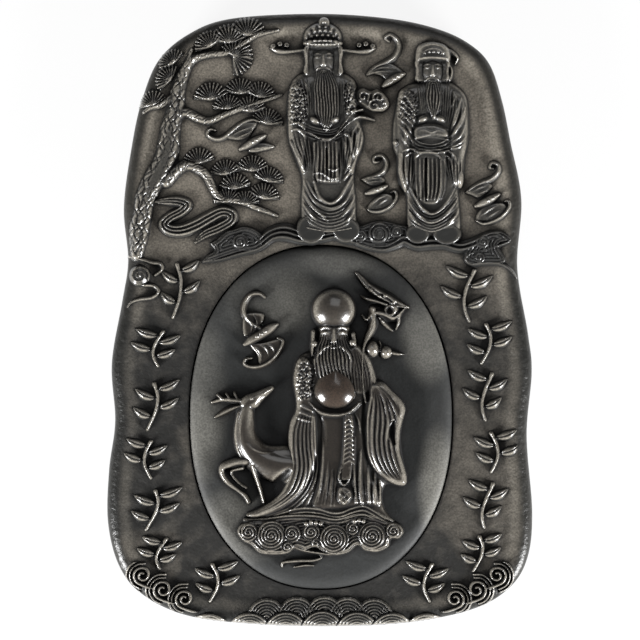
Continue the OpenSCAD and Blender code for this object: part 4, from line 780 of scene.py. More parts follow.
cap.folds([[(50, 69.4), (53, 70), (55.6, 67.8), (57, 64)], [(50.6, 68), (53, 67.6), (54.4, 65), (54.8, 61)],
           [(58.6, 66), (58.4, 61.6), (57.4, 57.4)]], 0.6, 0.75)
cap.dome(57.8, 58.6, 1.9, 4.4, 5.6)
# Skirt
cap.form([(39, 71), (52, 71), (52.6, 62), (52, 54), (49, 47.6), (43, 47), (39.6, 50), (38.8, 60)], 4.8, 1.8)
cap.fold([(43.8, 66.6, 0.5, -1.2), (43.6, 60, 0.7, -1.9), (43.6, 53, 0.6, -1.4), (44, 49, 0.3, -0.8)])
cap.drape([(39.6, 66.4), (39.6, 60), (40, 54), (40.4, 49.6)],
          [(51.6, 66.4), (51.8, 60), (51.4, 54), (50, 49.6)], 8, 0.5, 0.8, 0.7)
cap.folds([[(38.6, 66), (41, 68.6), (44.6, 69.6), (48.4, 68.4), (51.4, 65.4)]], 0.8, 0.8)
cap.folds([[(37.6, 54.8), (40, 49.6), (43, 45.6), (46.4, 44), (50, 45.8), (53.4, 50), (56.4, 55.6)],
           [(36.6, 49.8), (39.4, 45.2), (43, 41.6), (46, 40.4), (50.6, 42.2), (54.4, 46), (57.4, 51)],
           [(36.8, 45.4), (38.8, 41.8), (41.4, 39.2)], [(57.8, 46.2), (55.4, 42), (52.6, 39.4)],
           [(38.4, 53), (41.4, 47.2), (45, 44.6)]], 0.9, 0.95, 0.4)
cap.drape([(36.2, 54), (40, 47), (46, 43.6), (52, 47), (57, 54)],
          [(36.4, 42), (40.6, 38.6), (46.4, 36.6), (52.4, 38.8), (58, 42.6)], 7, 0.45, 0.6)
cap.drape([(40.6, 97.6), (41.6, 90), (42.6, 84)], [(44, 97.6), (44, 90), (44.6, 84.6)], 4, 0.45, 0.6)
cap.drape([(49.6, 97.6), (50, 90), (49.6, 84)], [(53.6, 97.6), (53, 90), (52.4, 82)], 4, 0.45, 0.6)
cap.drape([(37.6, 77), (41, 73.6), (46, 72.4), (51, 73.6), (55, 77)],
          [(36, 72), (40, 69.6), (46, 69), (52, 69.6), (56.6, 72)], 4, 0.5, 0.7)
# Sash, joined hands, beard and head
cap.form([(38.8, 79.4), (46, 81), (52.6, 79), (53, 75), (46.4, 75.6), (39.4, 74.4)], 5.5, 1.3)
cap.folds([[(38.8, 79.2), (42.4, 80.4), (46, 80.7), (49.6, 80.1), (52.8, 78.6)],
           [(39.4, 74.8), (43, 75.6), (46.4, 75.8), (50, 75.2), (53, 74.4)]], 0.7, 0.7, 0.8)
cap.folds([[(40.4, 77.6), (43, 78.4), (46, 77.4), (49, 78.2), (51.8, 77)]], 0.5, 0.5)
cap.dome(42.6, 83, 3.6, 2.4, 5.8, 25)
cap.dome(49.6, 83.2, 3.6, 2.4, 5.8, -25)
cap.folds([[(40.4, 82.6), (42.6, 83.8), (44.8, 84.4)], [(40.6, 84), (42.6, 85), (44.4, 85.6)],
           [(51.8, 82.8), (49.6, 84), (47.6, 84.6)]], 0.4, -0.4)
cap.beard([(46.8, 97, 3.2, 5.0), (46.9, 93.6, 4.2, 5.6), (47, 89.6, 4.0, 5.8), (47.1, 86.4, 2.8, 5.7),
           (47.2, 83.4, 0.9, 5.6)], 3.5, 0.4, pace=0.6)
cap.form([(40.4, 98.4), (39.8, 103), (40.2, 108), (53, 108), (53.6, 103), (52.8, 98.4)], 3.8, 1)
for side in (-1, 1):
    cap.drape([(46.6 + 4 * side, 107.4), (46.6 + 4.6 * side, 103), (46.6 + 4 * side, 98.6)],
              [(46.6 + 5.4 * side, 107.4), (46.6 + 5.7 * side, 103), (46.6 + 5.4 * side, 98.6)],
              3, 0.35, 0.5)
cap.dome(46.6, 102.8, 5.4, 6.8, 5.8, steep=4)
cap.pair(46.6, [(3.7, 105.1), (2.3, 105.7), (1.0, 105.3)], 0.5, 0.5, 0.6)
cap.pair(46.6, [(3.6, 103.9), (2.3, 104.2), (1.1, 103.8)], 0.55, 0.45, 0.6)
cap.fold([(46.6, 105.2, 0.5, 0.4), (46.6, 102.4, 0.7, 0.8), (46.6, 101.1, 1.05, 1.1),
          (46.6, 100.5, 0.4, 0.3)])
cap.folds([[(45.2, 98.9), (46.6, 98.6), (48, 98.9)]], 0.45, 0.5)
cap.pair(46.6, [(0.3, 100), (2.2, 99.4), (3.8, 97.4)], 0.5, 0.7)
for side in (-1, 1):
    cap.line([(46.6 + 5.8 * side, 107, 0.8, 4.4), (46.6 + 6.2 * side, 103, 1.0, 4.6),
              (46.6 + 5.8 * side, 98.8, 0.8, 4.4)], 2, 2, 0.12)
cap.form([(40, 106.4), (39.6, 110.6), (41, 114), (46, 115.4), (51.6, 114.2), (54.2, 110.8), (53.6, 106.6),
          (46.8, 106)], 5.2, 2.6)
cap.folds([[(40.6, 107.6), (43.6, 108.3), (46.8, 108.4), (50, 108.2), (53.2, 107.6)]], 0.8, 0.7, 0.8)
cap.folds([[(41.4, 112.4), (44, 113.6), (47, 114), (50, 113.4), (52.4, 112)],
           [(42, 110.2), (44.4, 111.6), (47, 112), (49.6, 111.4), (51.8, 110)]], 0.6, 0.6)
cap.studs([(43.4, 110.2), (45.2, 110.7), (47, 110.8), (48.8, 110.6), (50.6, 110)], 0.7, 0.6)
cap.line([(52.6, 112, 0.8, 3.2), (55, 110.6, 1.1, 2.8), (57, 108.4, 0.9, 2.2), (56, 106, 0.5, 1.8)])
cap.line([(53, 106.4, 0.9, 3.6), (54.4, 103.6, 1.2, 3.0), (54.2, 100.6, 1.2, 3.0), (53.4, 98.4, 0.7, 3.0)],
         2, 2)
cap.beads([(31.6, 73.4), (33.4, 72)], 1.5, 4.6)
cap.piece("cap_figure_carved", "cap_figure", carved_stone)

# Cloud bank: the drifting clouds that both figures stand on, with scrolls at their ends and
# grooves that follow the drift. They are carved from the slab, and duller than the figures.
clouds = Carving(-51, 84, 15, 47)


def spiral(middle, radius, start, rounds, width, height, hand=1, core=0.2):
    """A line that winds inward at a steady rate, from a radius to a share of it, the core."""
    t = np.linspace(0, 1, int(rounds * 10) + 2)
    swing, r = np.radians(start) + hand * 2 * math.pi * rounds * t, radius * (1 - (1 - core) * t)
    return np.column_stack([middle[0] + r * np.cos(swing), middle[1] + r * np.sin(swing),
                            0 * t + width, height * (0.85 + 0.15 * t)])


def scroll(carving, x, y, radius, height, start=0, hand=1, rounds=1.6):
    """A cloud's curled head: a low dome, a spiral ridge wound on it and a knob in the middle."""
    carving.dome(x, y, radius, radius, height * 0.82, steep=4)
    carving.line(spiral((x, y), radius * 0.86, start, rounds, radius * 0.12, height * 0.98, hand))
    carving.dome(x, y, radius * 0.22, radius * 0.22, height * 1.02)


def hump(carving, x, y, rx, ry, height, rings):
    """A cloud's rounded back: its height falls with the square of the distance out and then
    to its foot, and ring grooves are cut round it by a cosine."""
    part = carving.part(np.array([[x, y]]), max(rx, ry) * 1.15)
    r = np.hypot((carving.x[part] - x) / rx, (carving.y[part] - y) / ry)
    lift = height * np.minimum(1 - 0.35 * r * r, (1 - r) * 4)
    groove = 0.8 * (1 - np.cos(2 * math.pi * r * rings)) / 2 * (r < 1)
    carving.set_over(part, lift - groove)


clouds.swirls([(-49, 23.6), (-44, 24.4), (-39, 26.2), (-33, 28), (-26, 28.6), (-23, 32), (-23.6, 35.4),
               (-27.5, 38.2), (-32, 39), (-36, 37.8), (-39, 37), (-43, 33.6), (-45.8, 31.8), (-44, 29),
               (-47, 27)], 2.7, [(-33, 32.4, 3.4)])
clouds.swirls([(14, 32), (13, 37), (19, 40), (25, 41.4), (32, 40), (37, 38.4), (37, 34), (31, 30.4),
               (24, 29.4), (17, 30.6)], 2.4, [(17, 35.2, 2.8), (24.5, 35.8, 4.6), (31.6, 36.8, 2.8)])
clouds.swirls([(60, 25), (61, 30), (67, 35.6), (74, 36.4), (78, 33), (74, 31), (77, 24), (68, 23),
               (63, 23)], 2.2, [(67.6, 32.4, 2.8), (66, 26, 2.4)])
hump(clouds, -3.6, 37.6, 6.8, 6.8, 6.0, 4)
hump(clouds, 11, 37.2, 6.4, 5.8, 5.8, 3)
hump(clouds, 3.5, 37, 4, 3.6, 2.7, 2)
hump(clouds, 40.5, 35.6, 5.6, 4.6, 5.8, 3)
hump(clouds, 52.6, 35.6, 6.6, 5.0, 5.8, 3)
clouds.line([(-48, 24.4, 0.8, 1.8), (-42, 26, 2.0, 2.4), (-34, 28.6, 2.5, 2.6), (-26, 31, 3.0, 2.9),
             (-20, 35.4, 3.4, 3.1), (-14, 36.4, 4.0, 3.1), (-7, 34.4, 3.4, 3.1), (0, 34.8, 3.2, 3.1),
             (6, 36, 3.2, 3.1), (11, 34.4, 3.1, 3), (16, 33, 2.3, 2.8)], 6, 4, 0.42)
clouds.dome(-33, 32.4, 1.5, 1.4, 3.8)
clouds.line([(16, 32.2, 2.0, 2.6), (20, 30.8, 2.0, 2.6), (26, 29.8, 2.0, 2.7), (31, 31.4, 2.4, 2.8),
             (35, 33.4, 3.0, 2.9), (40, 31.4, 2.8, 2.9), (46, 32, 3.0, 2.8), (52, 31.8, 2.8, 2.8),
             (58, 30.2, 2.7, 2.7), (64, 31.8, 2.6, 2.6), (70, 35, 2.0, 2.4), (75, 35.6, 1.5, 2.2),
             (78.6, 33.2, 0.8, 1.8)], 6, 3, 0.42)
scroll(clouds, 24.5, 35.8, 5.4, 3.8, 0, 1, 2.1)
scroll(clouds, 17, 35.2, 2.9, 3.2, 200, 1, 1.0)
scroll(clouds, 31.6, 36.8, 3.2, 3.3, 0, -1, 1.1)
scroll(clouds, 67.6, 32.4, 2.6, 3.0, 0, 1, 1.0)
clouds.line([(78.6, 32.6, 0.6, 1.8), (74, 30.8, 1.0, 2.2), (68, 29, 1.1, 2.3), (62.6, 27.6, 1.1, 2.4),
             (60.4, 25.2, 1.0, 2.4), (63, 23.2, 1.1, 2.3), (69, 23.6, 1.2, 2.2), (75, 23.2, 1.1, 2.1),
             (79, 21, 0.9, 1.9), (81.6, 17.4, 0.5, 1.5)], 2, 2, 0.24)
clouds.line([(71, 26.6, 0.5, 1.8), (66, 26.2, 0.9, 2.2), (63.6, 25.2, 0.8, 2.2)], 2)
bank_stone = stone("cloud_bank_stone", (0.01, 0.01, 0.009), (0.011, 0.011, 0.01), 0.46, 0.3, 0.16)
clouds.die_out(5)
clouds.piece("cloud_bank_carved", "cloud_bank", bank_stone)

# Mist: one ribbon that winds past the foot of the pine, with grooves along it. It is left
# standing on the slab's ground, and thins out at both ends.
mist = Carving(-71, -32, 28, 53)
mist.line([(-68.4, 49, 0.7, 1.5), (-64, 49.3, 1.9, 1.9), (-59, 49.2, 2.6, 2.1), (-55.2, 47.8, 2.8, 2.3),
           (-57.6, 45, 2.6, 2.3), (-62, 42.6, 2.6, 2.3), (-64.6, 39.8, 2.8, 2.4), (-62, 37.4, 2.9, 2.5),
           (-57, 37.2, 3.2, 2.5), (-51, 39.4, 3.3, 2.5), (-46, 42.2, 3.2, 2.5), (-40.6, 44.8, 2.9, 2.4),
           (-36.6, 43.8, 2.8, 2.3), (-37, 41, 2.8, 2.3), (-42, 38, 2.8, 2.3), (-47.6, 35.6, 2.3, 2.1),
           (-51.6, 32.2, 0.7, 1.5)], 6, 4, 0.4)
mist.piece("mist_ribbon_carved", "mist_ribbon", carved_stone)

# Small cloud by the left edge: a scroll with a streamer above it and one below, cut low from
# the slab's stone under the foot of the pine.
wisp = Carving(-81, -63, 4, 29)
wisp.line([(-79.4, 26.4, 0.6, 1.6), (-74, 25.2, 1.0, 2.0), (-69.6, 23.8, 1.1, 2.2), (-66, 23.2, 1.1, 2.3),
           (-65.4, 20.8, 1.0, 2.3), (-68.4, 18.6, 0.8, 2.1)], 2, 2, 0.24)
scroll(wisp, -74.6, 18.4, 4.6, 2.9, -30, 1, 1.8)
wisp.line([(-73, 14.4, 0.8, 2.0), (-69, 14.2, 1.1, 2.2), (-66.8, 11.8, 1.1, 2.2), (-69.4, 9.4, 1.1, 2.1),
           (-74.4, 8.6, 1.0, 1.9), (-78, 7.4, 0.7, 1.6), (-79.6, 5.4, 0.4, 1.3)], 2, 2, 0.24)
wisp.die_out(5)
wisp.piece("edge_clouds_carved", "edge_clouds", carved_stone)

# Bats: four carved from the slab round the figures, each with wings that curl over at their
# tips, thin webs with raised bones, and a plump ringed body.
bats = Carving(-49, 81, 38, 120)


def bat(carving, arms, webs, bones, body, height=1.9):
    """A bat: raised arms that taper to a curl, webs of skin at a lower level, bones added on
    them, and a ringed body."""
    for web in webs:
        carving.form(web, height * 0.8, 0.9)
    for arm in arms:
        carving.line([(x, y, w * 1.2, height * 1.15) for x, y, w in arm], 2.4, 2, 0.3)
    carving.folds(bones, 0.5, 0.7)
    carving.line([(x, y, w * 1.15, height * 1.55) for x, y, w in body], 2.6)
    middle = body[len(body) // 2]
    aim = np.subtract(body[-1][:2], body[0][:2]) / math.dist(body[-1][:2], body[0][:2])
    carving.studs([tuple(np.array(middle[:2]) + aim * s) for s in (-1.9, 0, 1.9)], 0.75, 0.55)


bat(bats, [[(-43.2, 78.6, 0.5), (-45.6, 79, 0.8), (-46.4, 76.8, 0.9), (-43, 75, 1.1), (-39.6, 75.8, 1.2),
            (-36, 78.6, 1.3), (-32, 81.6, 1.2), (-28, 83, 0.9), (-24.8, 82.2, 0.4)]],
    [[(-40, 76), (-36, 79.6), (-31, 82), (-26, 82), (-27.4, 78.4), (-29.6, 75.4), (-34, 74.4)],
     [(-29.8, 70), (-26, 69.4), (-18.6, 71.8), (-22.4, 73.6), (-27, 73.2)]],
    [[(-37, 76.2), (-32, 78.6), (-27.4, 80)], [(-35, 75.2), (-31, 76.8), (-28, 78)],
     [(-28, 71), (-24, 71.4), (-20.4, 71.8)]], [(-33, 70.8, 0.7), (-30, 72.4, 1.6), (-26.6, 74.4, 1.8),
                                                (-22.6, 76.4, 0.7)])
bat(bats, [[(28.8, 115.4, 0.5), (27.2, 116.8, 0.9), (29.2, 118, 1.0), (32, 116, 1.2), (32.8, 112.8, 1.3),
            (31, 109.2, 1.4), (27.6, 106.8, 1.5), (23.4, 105, 1.1), (20.6, 103, 0.6)]],
    [[(19, 101.2), (21, 104.6), (25, 107), (29, 106.8), (33, 104.6), (35.2, 102.4), (32, 101.4),
      (28.4, 98.8), (25.6, 100.8), (22.4, 101.8)]], [[(21.4, 102.8), (26, 104.6), (31.4, 104)],
                                                     [(21, 102.2), (25.6, 103), (30.4, 102.4)],
                                                     [(24, 102), (28, 101.6)]],
    [(26.2, 96.8, 0.8), (28.6, 98.6, 1.8), (32, 100.8, 1.9), (35, 102, 0.7)])
bat(bats, [[(24.6, 65.6, 0.4), (22.6, 65.6, 0.8), (22.8, 67.6, 0.9), (25.8, 68, 1.0), (27.8, 65.2, 1.1),
            (26.6, 61.8, 1.2), (23, 59.6, 1.1), (19.4, 58.8, 0.8), (17.2, 58.2, 0.3)],
           [(29.6, 53, 0.4), (31.2, 53.4, 0.7), (31.8, 51, 0.9), (29.4, 47.4, 1.0), (25.4, 45.2, 1.0),
            (21.6, 45, 0.8), (19.4, 46.2, 0.3)]], [[(17.4, 58), (20, 59.4), (24.4, 60.2), (27, 58.4),
                                                    (26, 55.8), (23, 55.4), (20.6, 55.8)],
                                                   [(19.4, 46.2), (22, 50), (26, 52.6), (30, 51.8),
                                                    (30.4, 48.6), (26, 45.8), (22, 45.2)]],
    [[(19, 58), (22.4, 58.6), (25.4, 58.4)], [(20.4, 57), (23, 57.4), (25.8, 57)],
     [(21.6, 48), (24.6, 50.4), (27.4, 51.4)], [(23.4, 47), (26, 49), (28.6, 50.4)]],
    [(19, 52.4, 0.6), (21.6, 53.2, 1.4), (25, 54.4, 1.5), (27.8, 55.6, 0.6)])
bat(bats, [[(72.2, 62.6, 0.4), (70.6, 63.2, 0.8), (71.4, 65, 0.9), (73.8, 64.2, 1.0), (74, 61.4, 1.1),
            (71, 58.4, 1.2), (67, 56.8, 1.2), (63.4, 55, 0.9), (60.6, 53, 0.4)],
           [(76.6, 49.2, 0.4), (78.2, 49.2, 0.7), (78.4, 46.6, 0.9), (75.4, 43, 1.0), (71.4, 40.8, 1.0),
            (67.6, 40, 0.8), (64.6, 41.4, 0.3)]], [[(60.6, 52.8), (64, 55.6), (69.4, 57.4), (71.6, 55.6),
                                                    (69.6, 52.6), (66, 50.4), (63.4, 51.4)],
                                                   [(64.6, 41.4), (66, 45.6), (70, 48), (75, 48.8),
                                                    (77.6, 46.8), (74.4, 43), (70, 40.8)]],
    [[(63, 53), (66.4, 54.8), (69.8, 55.8)], [(65, 52), (67.6, 53), (70.2, 54)],
     [(66.6, 43), (70, 45.6), (74, 47.4)], [(69, 42), (72, 44), (75.6, 46)]],
    [(64.6, 47.2, 0.7), (67.4, 48.4, 1.7), (71, 50.2, 1.8), (74.2, 52, 0.7)])
bats.die_out(5)
bats.piece("slab_bats_carved", "slab_bats", carved_stone)

# Border sprigs: bent stems with ridged leaves, one above the other down both sides and one in
# each lower corner, left standing on the slab's ground beside the lid.
sprays = Carving(-82, 82, -119, 25)
places = [
    (-60, 12, 16, 22, 20, 1), (-66, -12, 19, 14, -20, -1), (-70, -36, 18, 19, 30, 1),
    (-70, -58, 17, 15, 0, -1), (-70, -79, 19, 16, 40, 1), (-65, -97, 17, 12, -30, -1),
    (-45, -109, 18, 15, 10, 1),
    (63, 10, 20, 21, -20, -1), (68, -10, 18, 16, 20, 1), (70, -32, 17, 19, -30, -1),
    (71, -55, 18, 16, 0, 1), (70, -77, 17, 18, -40, -1), (65, -97, 16, 14, 30, 1),
    (46, -109, 18, 15, -10, -1)]
for middle_x, middle_y, wide, tall, lean, hand in places:
    t = np.linspace(0, 1, 7)
    stem_x = middle_x + wide * 0.16 * hand * np.sin(np.radians(180 * t + lean))
    stem_y = middle_y + tall * (0.5 - t)
    sprays.line(np.column_stack([stem_x, stem_y, 1.15 - 0.4 * t, 0 * t + 2.1]), 2)
    for k in range(4):
        share = 0.1 + 0.2 * k
        side = hand * (1 if k % 2 == 0 else -1)
        x, y = np.interp(share, t, stem_x), np.interp(share, t, stem_y)
        out, rise = wide * (0.56 - 0.12 * share), tall * 0.2
        leaf = [(x + side * 0.6, y, 0.4, 1.7), (x + side * out * 0.3, y + rise * 0.02, 1.8, 2.3),
                (x + side * out * 0.62, y + rise * 0.3, 2.2, 2.4), (x + side * out, y + rise, 0.3, 1.4)]
        sprays.line(leaf, 1.7)
        sprays.fold([(a, b, 0.45, -0.9) for a, b, _, _ in leaf])
sprays.piece("border_sprigs_carved", "border_sprigs", carved_stone)

# Sea waves: two rows of overlapping scales, each cut with nested arcs, in low relief on the
# slab's rim at the foot.
waves = Carving(-58, 58, -127.3, -111)
for x0 in (-22, -9.5, 2, 11.5, 22.5):
    y0, radius = -122.4 - abs(x0) * 0.05, 8.4
    r = np.hypot(waves.x - x0, waves.y - y0)
    arcs = 0.4 * np.cos(2 * math.pi * (radius - r) / 1.2)
    waves.h = np.maximum(waves.h, np.minimum(1.35 + arcs - 0.02 * (r - 4), (radius - r) * 3))
for x0 in (-46, -29, -14, 1, 15.5, 30, 44.5):
    y0, radius = -128.6 - abs(x0 - 1) * 0.03, 8.8
    r = np.hypot((waves.x - x0) * 0.97, waves.y - y0)
    arcs = 0.4 * np.cos(2 * math.pi * (radius - r) / 1.2)
    front = np.minimum(1.9 + arcs, (radius - r) * 3)
    waves.h = np.where(r < radius, front, np.maximum(waves.h, front))
waves.die_out(4)
waves.piece("sea_waves_carved", "sea_waves", carved_stone)

# Breaking waves: three curls in each lower corner of the slab, where the sea ends, each with
# two long arcs outside it.
crests = Carving(-82, 82, -124, -100)
for side in (-1, 1):
    for x0, y0, radius in [(73.4, -105.6, 3.8), (65, -111.6, 4), (56, -115.4, 3.8)]:
        curl = spiral((side * x0, y0), radius, -60 if side > 0 else 240, 1.5, 0.85, 2.6, side)
        tail = [(side * (x0 - 5.4), y0 - radius - 1.8, 0.3, 1.4),
                (side * (x0 - 2.6), y0 - radius - 1.3, 0.8, 2.0)]
        crests.line(np.vstack([tail, curl]), 2)
        for wider in (1.7, 3.2):
            crests.line(spiral((side * x0, y0 - 0.4),
                               radius + wider, -80 if side > 0 else 260, 0.5, 0.6, 1.8, side, 0.92), 2)
crests.die_out(4)
crests.piece("wave_crests_carved", "wave_crests", carved_stone)

# Lid: an oval stone that lies loose in its seat, with a sloping border and a gently dished
# field, polished smoother than the slab.
lid_thickness, bevel_width, bevel_fall, dish_depth, lid_foot = 10, 5, 2.4, 1, 0.6
lid_top = seat_z + lid_thickness
lid_edge, lid_field = oval_reach(0, turns), oval_reach(bevel_width, turns)


def lid_ground(x, y):
    """Height of the lid's face: a dish that deepens with the square of the distance in, and a
    border that falls along a quarter of an ellipse."""
    turn = np.arctan2(y - lid_middle[1], x - lid_middle[0])
    r = np.hypot(x - lid_middle[0], y - lid_middle[1])
    field, edge = (np.interp(turn, turns, v, period=2 * math.pi) for v in (lid_field, lid_edge))
    down = np.clip((r - field) / (edge - field), 0, 1)
    return (lid_top - dish_depth * np.clip(1 - (r / field) ** 2, 0, 1)
            - bevel_fall * (1 - np.sqrt(1 - down**2)))


rings = [ring(oval_reach(lid_foot, turns), seat_z), ring(lid_edge, seat_z + lid_foot),
         ring(lid_edge, lid_top - bevel_fall)]
for lean in np.linspace(0, math.pi / 2, 14)[1:]:
    rings.append(ring(lid_field + (lid_edge - lid_field) * math.cos(lean),
                      lid_top - bevel_fall * (1 - math.sin(lean))))
for share in np.linspace(1, 0, 30)[1:-1]:
    rings.append(ring(lid_field * share, lid_top - dish_depth * (1 - share**2)))
lid = skin("lid_stone", np.array(rings), (*lid_middle, seat_z), (*lid_middle, lid_top - dish_depth))
lid.data.set_sharp_from_angle(angle=sharp_angle)
lid.data.materials.append(stone(
    "lid_stone", (0.019, 0.020, 0.020), (0.030, 0.030, 0.028), 0.38, 0.2, face="lid"))
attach(lid, "lid")
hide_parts("lid")

# Elder: the large figure carved from the lid, with a high bare forehead, a long beard, wide
# sleeves and a train that sweeps out to the left. The face is a plain one on even proportions.
elder = Carving(-34, 39, -89, 15, 0.36, "lid")
elder.form([(-3, -12.4), (3, -11), (12, -12), (17, -18), (22, -24), (26.4, -26), (30, -29.4), (34, -33),
            (35.6, -37), (34.4, -42), (33.6, -50), (35, -60), (36.2, -66), (34, -69), (28, -68), (26, -72),
            (27, -78), (31, -84), (22, -84), (10, -84), (0, -82), (-12, -82), (-26, -82.6), (-30.6, -80.4),
            (-27, -78), (-21, -75), (-16.4, -71), (-13.6, -66), (-12.6, -58), (-13.4, -50), (-12.6, -43),
            (-10.6, -38), (-10.2, -33), (-11.6, -25), (-10.6, -18), (-8, -14.4)], 3.6, 4.5)
elder.form([(-3, -14), (5, -12), (13, -14), (18, -22), (20, -30), (19, -42), (20, -52), (21.5, -62),
            (25, -70), (25.4, -77), (18, -77.6), (6, -79), (-4, -78), (-1.6, -66), (-0.6, -56), (-0.4, -42),
            (-6, -34), (-8, -22)], 4.6, 3)
# Left sleeve and its long train
elder.form([(-6.6, -15), (-3, -17), (-2, -24), (-2.4, -32), (-1, -38.6), (-0.5, -50), (-1, -57),
            (-2.4, -63), (-5, -69), (-10, -74.6), (-17, -79), (-26, -81.8), (-30.6, -80.6), (-24, -77),
            (-18, -73), (-14, -67), (-12.6, -60), (-13.4, -50), (-12.4, -42), (-10, -36), (-11.2, -24),
            (-9.6, -17)], 5.6, 2.6)
for k, (a, b, c) in enumerate([(-11.2, -11.6, -30), (-9.6, -9.8, -28.6), (-7.9, -8.0, -27),
                               (-6.3, -6.3, -25.6), (-4.8, -4.6, -24), (-3.4, -3.2, -22),
                               (-2.1, -1.8, -20)]):
    inward = k / 6
    elder.folds([[(a + 2.0 * (1 - inward), -39.5), (a, -45), (b, -52), (b + 0.6 + 0.03 * k, -60),
                  (b - 0.2 - 0.56 * (1 - inward), -66), (b - 3.4, -71 - inward),
                  (c + 9.6, -75.4 - 2.2 * inward), (c + 3, -78.6 - 1.6 * inward),
                  (c, -80.2 - 1.0 * inward)]], 0.66, 0.75, 0.5)
elder.folds([[(-8.6, -34.6), (-5, -36.6), (-2, -38)], [(-9.8, -37), (-6, -38.8), (-2.4, -40)],
             [(-10.8, -39.6), (-7, -41), (-3.2, -42)]], 0.6, 0.8)
elder.brocade([(-10, -16.6), (-4, -15.6), (-2.6, -22), (-2.4, -31), (-9.4, -33.4), (-11, -24)], 2.6, 0.45)
elder.form([(11, -12), (16, -10), (20, -14), (22.6, -21), (24, -27), (20, -31), (14, -31), (11, -22)],
           5.4, 2.2)
elder.drape([(12.4, -13), (14, -21), (14.6, -30)], [(19.4, -14), (22, -21), (23, -28)], 7, 0.5, 0.6)
# Right sleeve
elder.form([(20, -26), (26, -25.4), (30, -29), (34, -33), (35.6, -37), (34.4, -42), (33.4, -47),
            (33.4, -54), (35, -60), (36.2, -65), (35.4, -68.4), (31, -68.2), (25, -65), (21, -60.4),
            (19, -55), (18.6, -48), (18.4, -40), (19, -32)], 5.8, 2.4)
for s in np.linspace(0, 1, 7):
    elder.folds([[(21.6 + 2.2 * s, -27), (21.2 + 7.6 * s, -33), (19.8 + 12.4 * s, -41),
                  (19.6 + 11.6 * s, -49), (20.4 + 11.6 * s, -56 + s), (23.6 + 9.8 * s, -62.4 + 2.2 * s),
                  (28 + 6.4 * s, -66.4 + 2.4 * s)]], 0.7, 0.75, 0.5)
elder.folds([[(21, -28.4), (22, -34), (21.4, -41), (21, -47)], [(24, -28), (26.6, -33), (27, -39)],
             [(26, -27), (30, -31.6), (32, -36)]], 0.5, 0.55)
elder.fold([(30.4, -42, 0.8, -1.4), (29.8, -47, 1.7, -2.6), (30.6, -51, 0.9, -1.6)])
# Skirt panels, sash, loop and pendant
elder.form([(10, -39), (14, -39), (14.4, -50), (14, -60), (13, -66), (8, -66), (8.6, -58), (9.4, -48)],
           5.8, 1.2)
for y in np.arange(-42, -61, -1.9):
    elder.folds([[(10.4, y), (12.2, y + 1.1), (13.8, y)]], 0.55, 0.6, 0.7)
elder.line([(9, -60, 0.7, 6.2), (8, -65, 0.8, 6.4), (10, -68, 0.8, 6.2), (12.4, -65, 0.8, 6.2),
            (12, -60, 0.6, 6.0)])
elder.form([(7, -69), (10, -67.6), (13.2, -69.4), (14, -73), (10.6, -77), (6.8, -74.6)], 6.0, 1.8)
elder.folds([[(7.6, -70.6), (9.6, -73), (12.2, -75)], [(9, -69.4), (11, -71.6), (13.2, -73.4)],
             [(12.6, -70.2), (10, -72.6), (7.8, -74.6)], [(13.4, -72.2), (11.4, -74.2), (9.6, -76)]],
            0.4, 0.5, 0.7)
elder.folds([[(14.4, -48), (14, -58), (14.2, -66), (15, -75.6)],
             [(17, -54), (16.6, -62), (16.8, -70), (17.6, -76.6)], [(20.2, -60), (20, -68), (20.4, -76)],
             [(22.6, -63), (22.6, -70), (22.8, -76)], [(24.6, -66), (24.8, -71), (24.9, -75.6)]],
            0.85, 0.95, 0.6)
elder.folds([[(1, -44), (1.2, -56), (0.6, -66), (-0.8, -75)], [(3.4, -58), (3, -67), (2, -76)],
             [(5.4, -62), (4.8, -70), (4.4, -77)], [(-2.6, -68), (-4.6, -74), (-6.6, -77.6)]],
            0.8, 0.6, 0.4)
for k, lift in enumerate((0, -1.7, -3.4)):
    elder.folds([[(-12, -78.4 + lift), (-6, -77.6 + lift), (0, -78.2 + lift), (5, -79.6 + lift),
                  (9, -79.4 + lift), (13, -77.8 + lift), (18, -76.8 + lift), (22, -78.6 + lift),
                  (26, -81 + lift), (31, -83.4 + lift)]], 0.75, 1.1, 0.7)
elder.drape([(-1.4, -62), (-2.2, -69), (-5, -76)], [(7, -62), (6.4, -69), (6, -77)], 5, 0.5, 0.5)
elder.drape([(14.4, -60), (14.6, -68), (15.4, -75.4)], [(24.4, -67), (24.8, -71), (25, -75.6)],
            8, 0.45, 0.6)
# Hands and cuffs round the fruit
elder.line([(-4.4, -34, 1.6, 6.2), (0, -37.8, 1.9, 6.8), (6, -39, 1.9, 6.9), (12, -38, 1.9, 6.8),
            (16.6, -34, 1.6, 6.2)], 2, 4, 0.12)
elder.folds([[(11.4, -39.4), (13.4, -43), (13.6, -47)], [(14.4, -38.4), (16.2, -42.4), (16.8, -46.6)]],
            0.7, 0.8)
# Beard and hair
elder.beard([(5.8, -8, 6.4, 5.8), (5.8, -12, 8.2, 6.2), (6.4, -16, 9.6, 6.6), (7, -20, 9.4, 6.4),
             (8, -25, 8.6, 5.8)], 6.5, 0.3, 0.14, 0.5, 4)
elder.line([(13.6, -6, 1.6, 5.4), (14.6, -12, 1.9, 5.8), (15.4, -19, 1.9, 6.0), (17, -26, 1.4, 5.8)],
           2, 3, 0.12)
elder.line([(-2.4, -5, 1.4, 5.2), (-2.6, -10, 1.6, 5.4), (-3, -14.6, 1.2, 5.2)], 2, 2, 0.12)
elder.dome(5.8, -5.4, 7.4, 7.2, 6.4, steep=4)
elder.pair(5.8, [(5.6, -3.8), (3.4, -2.8), (1.2, -3.6)], 0.8, 0.8, 0.6)
elder.pair(5.8, [(5.2, -5.6), (3.3, -5.1), (1.4, -5.7)], 0.8, 0.55, 0.6)
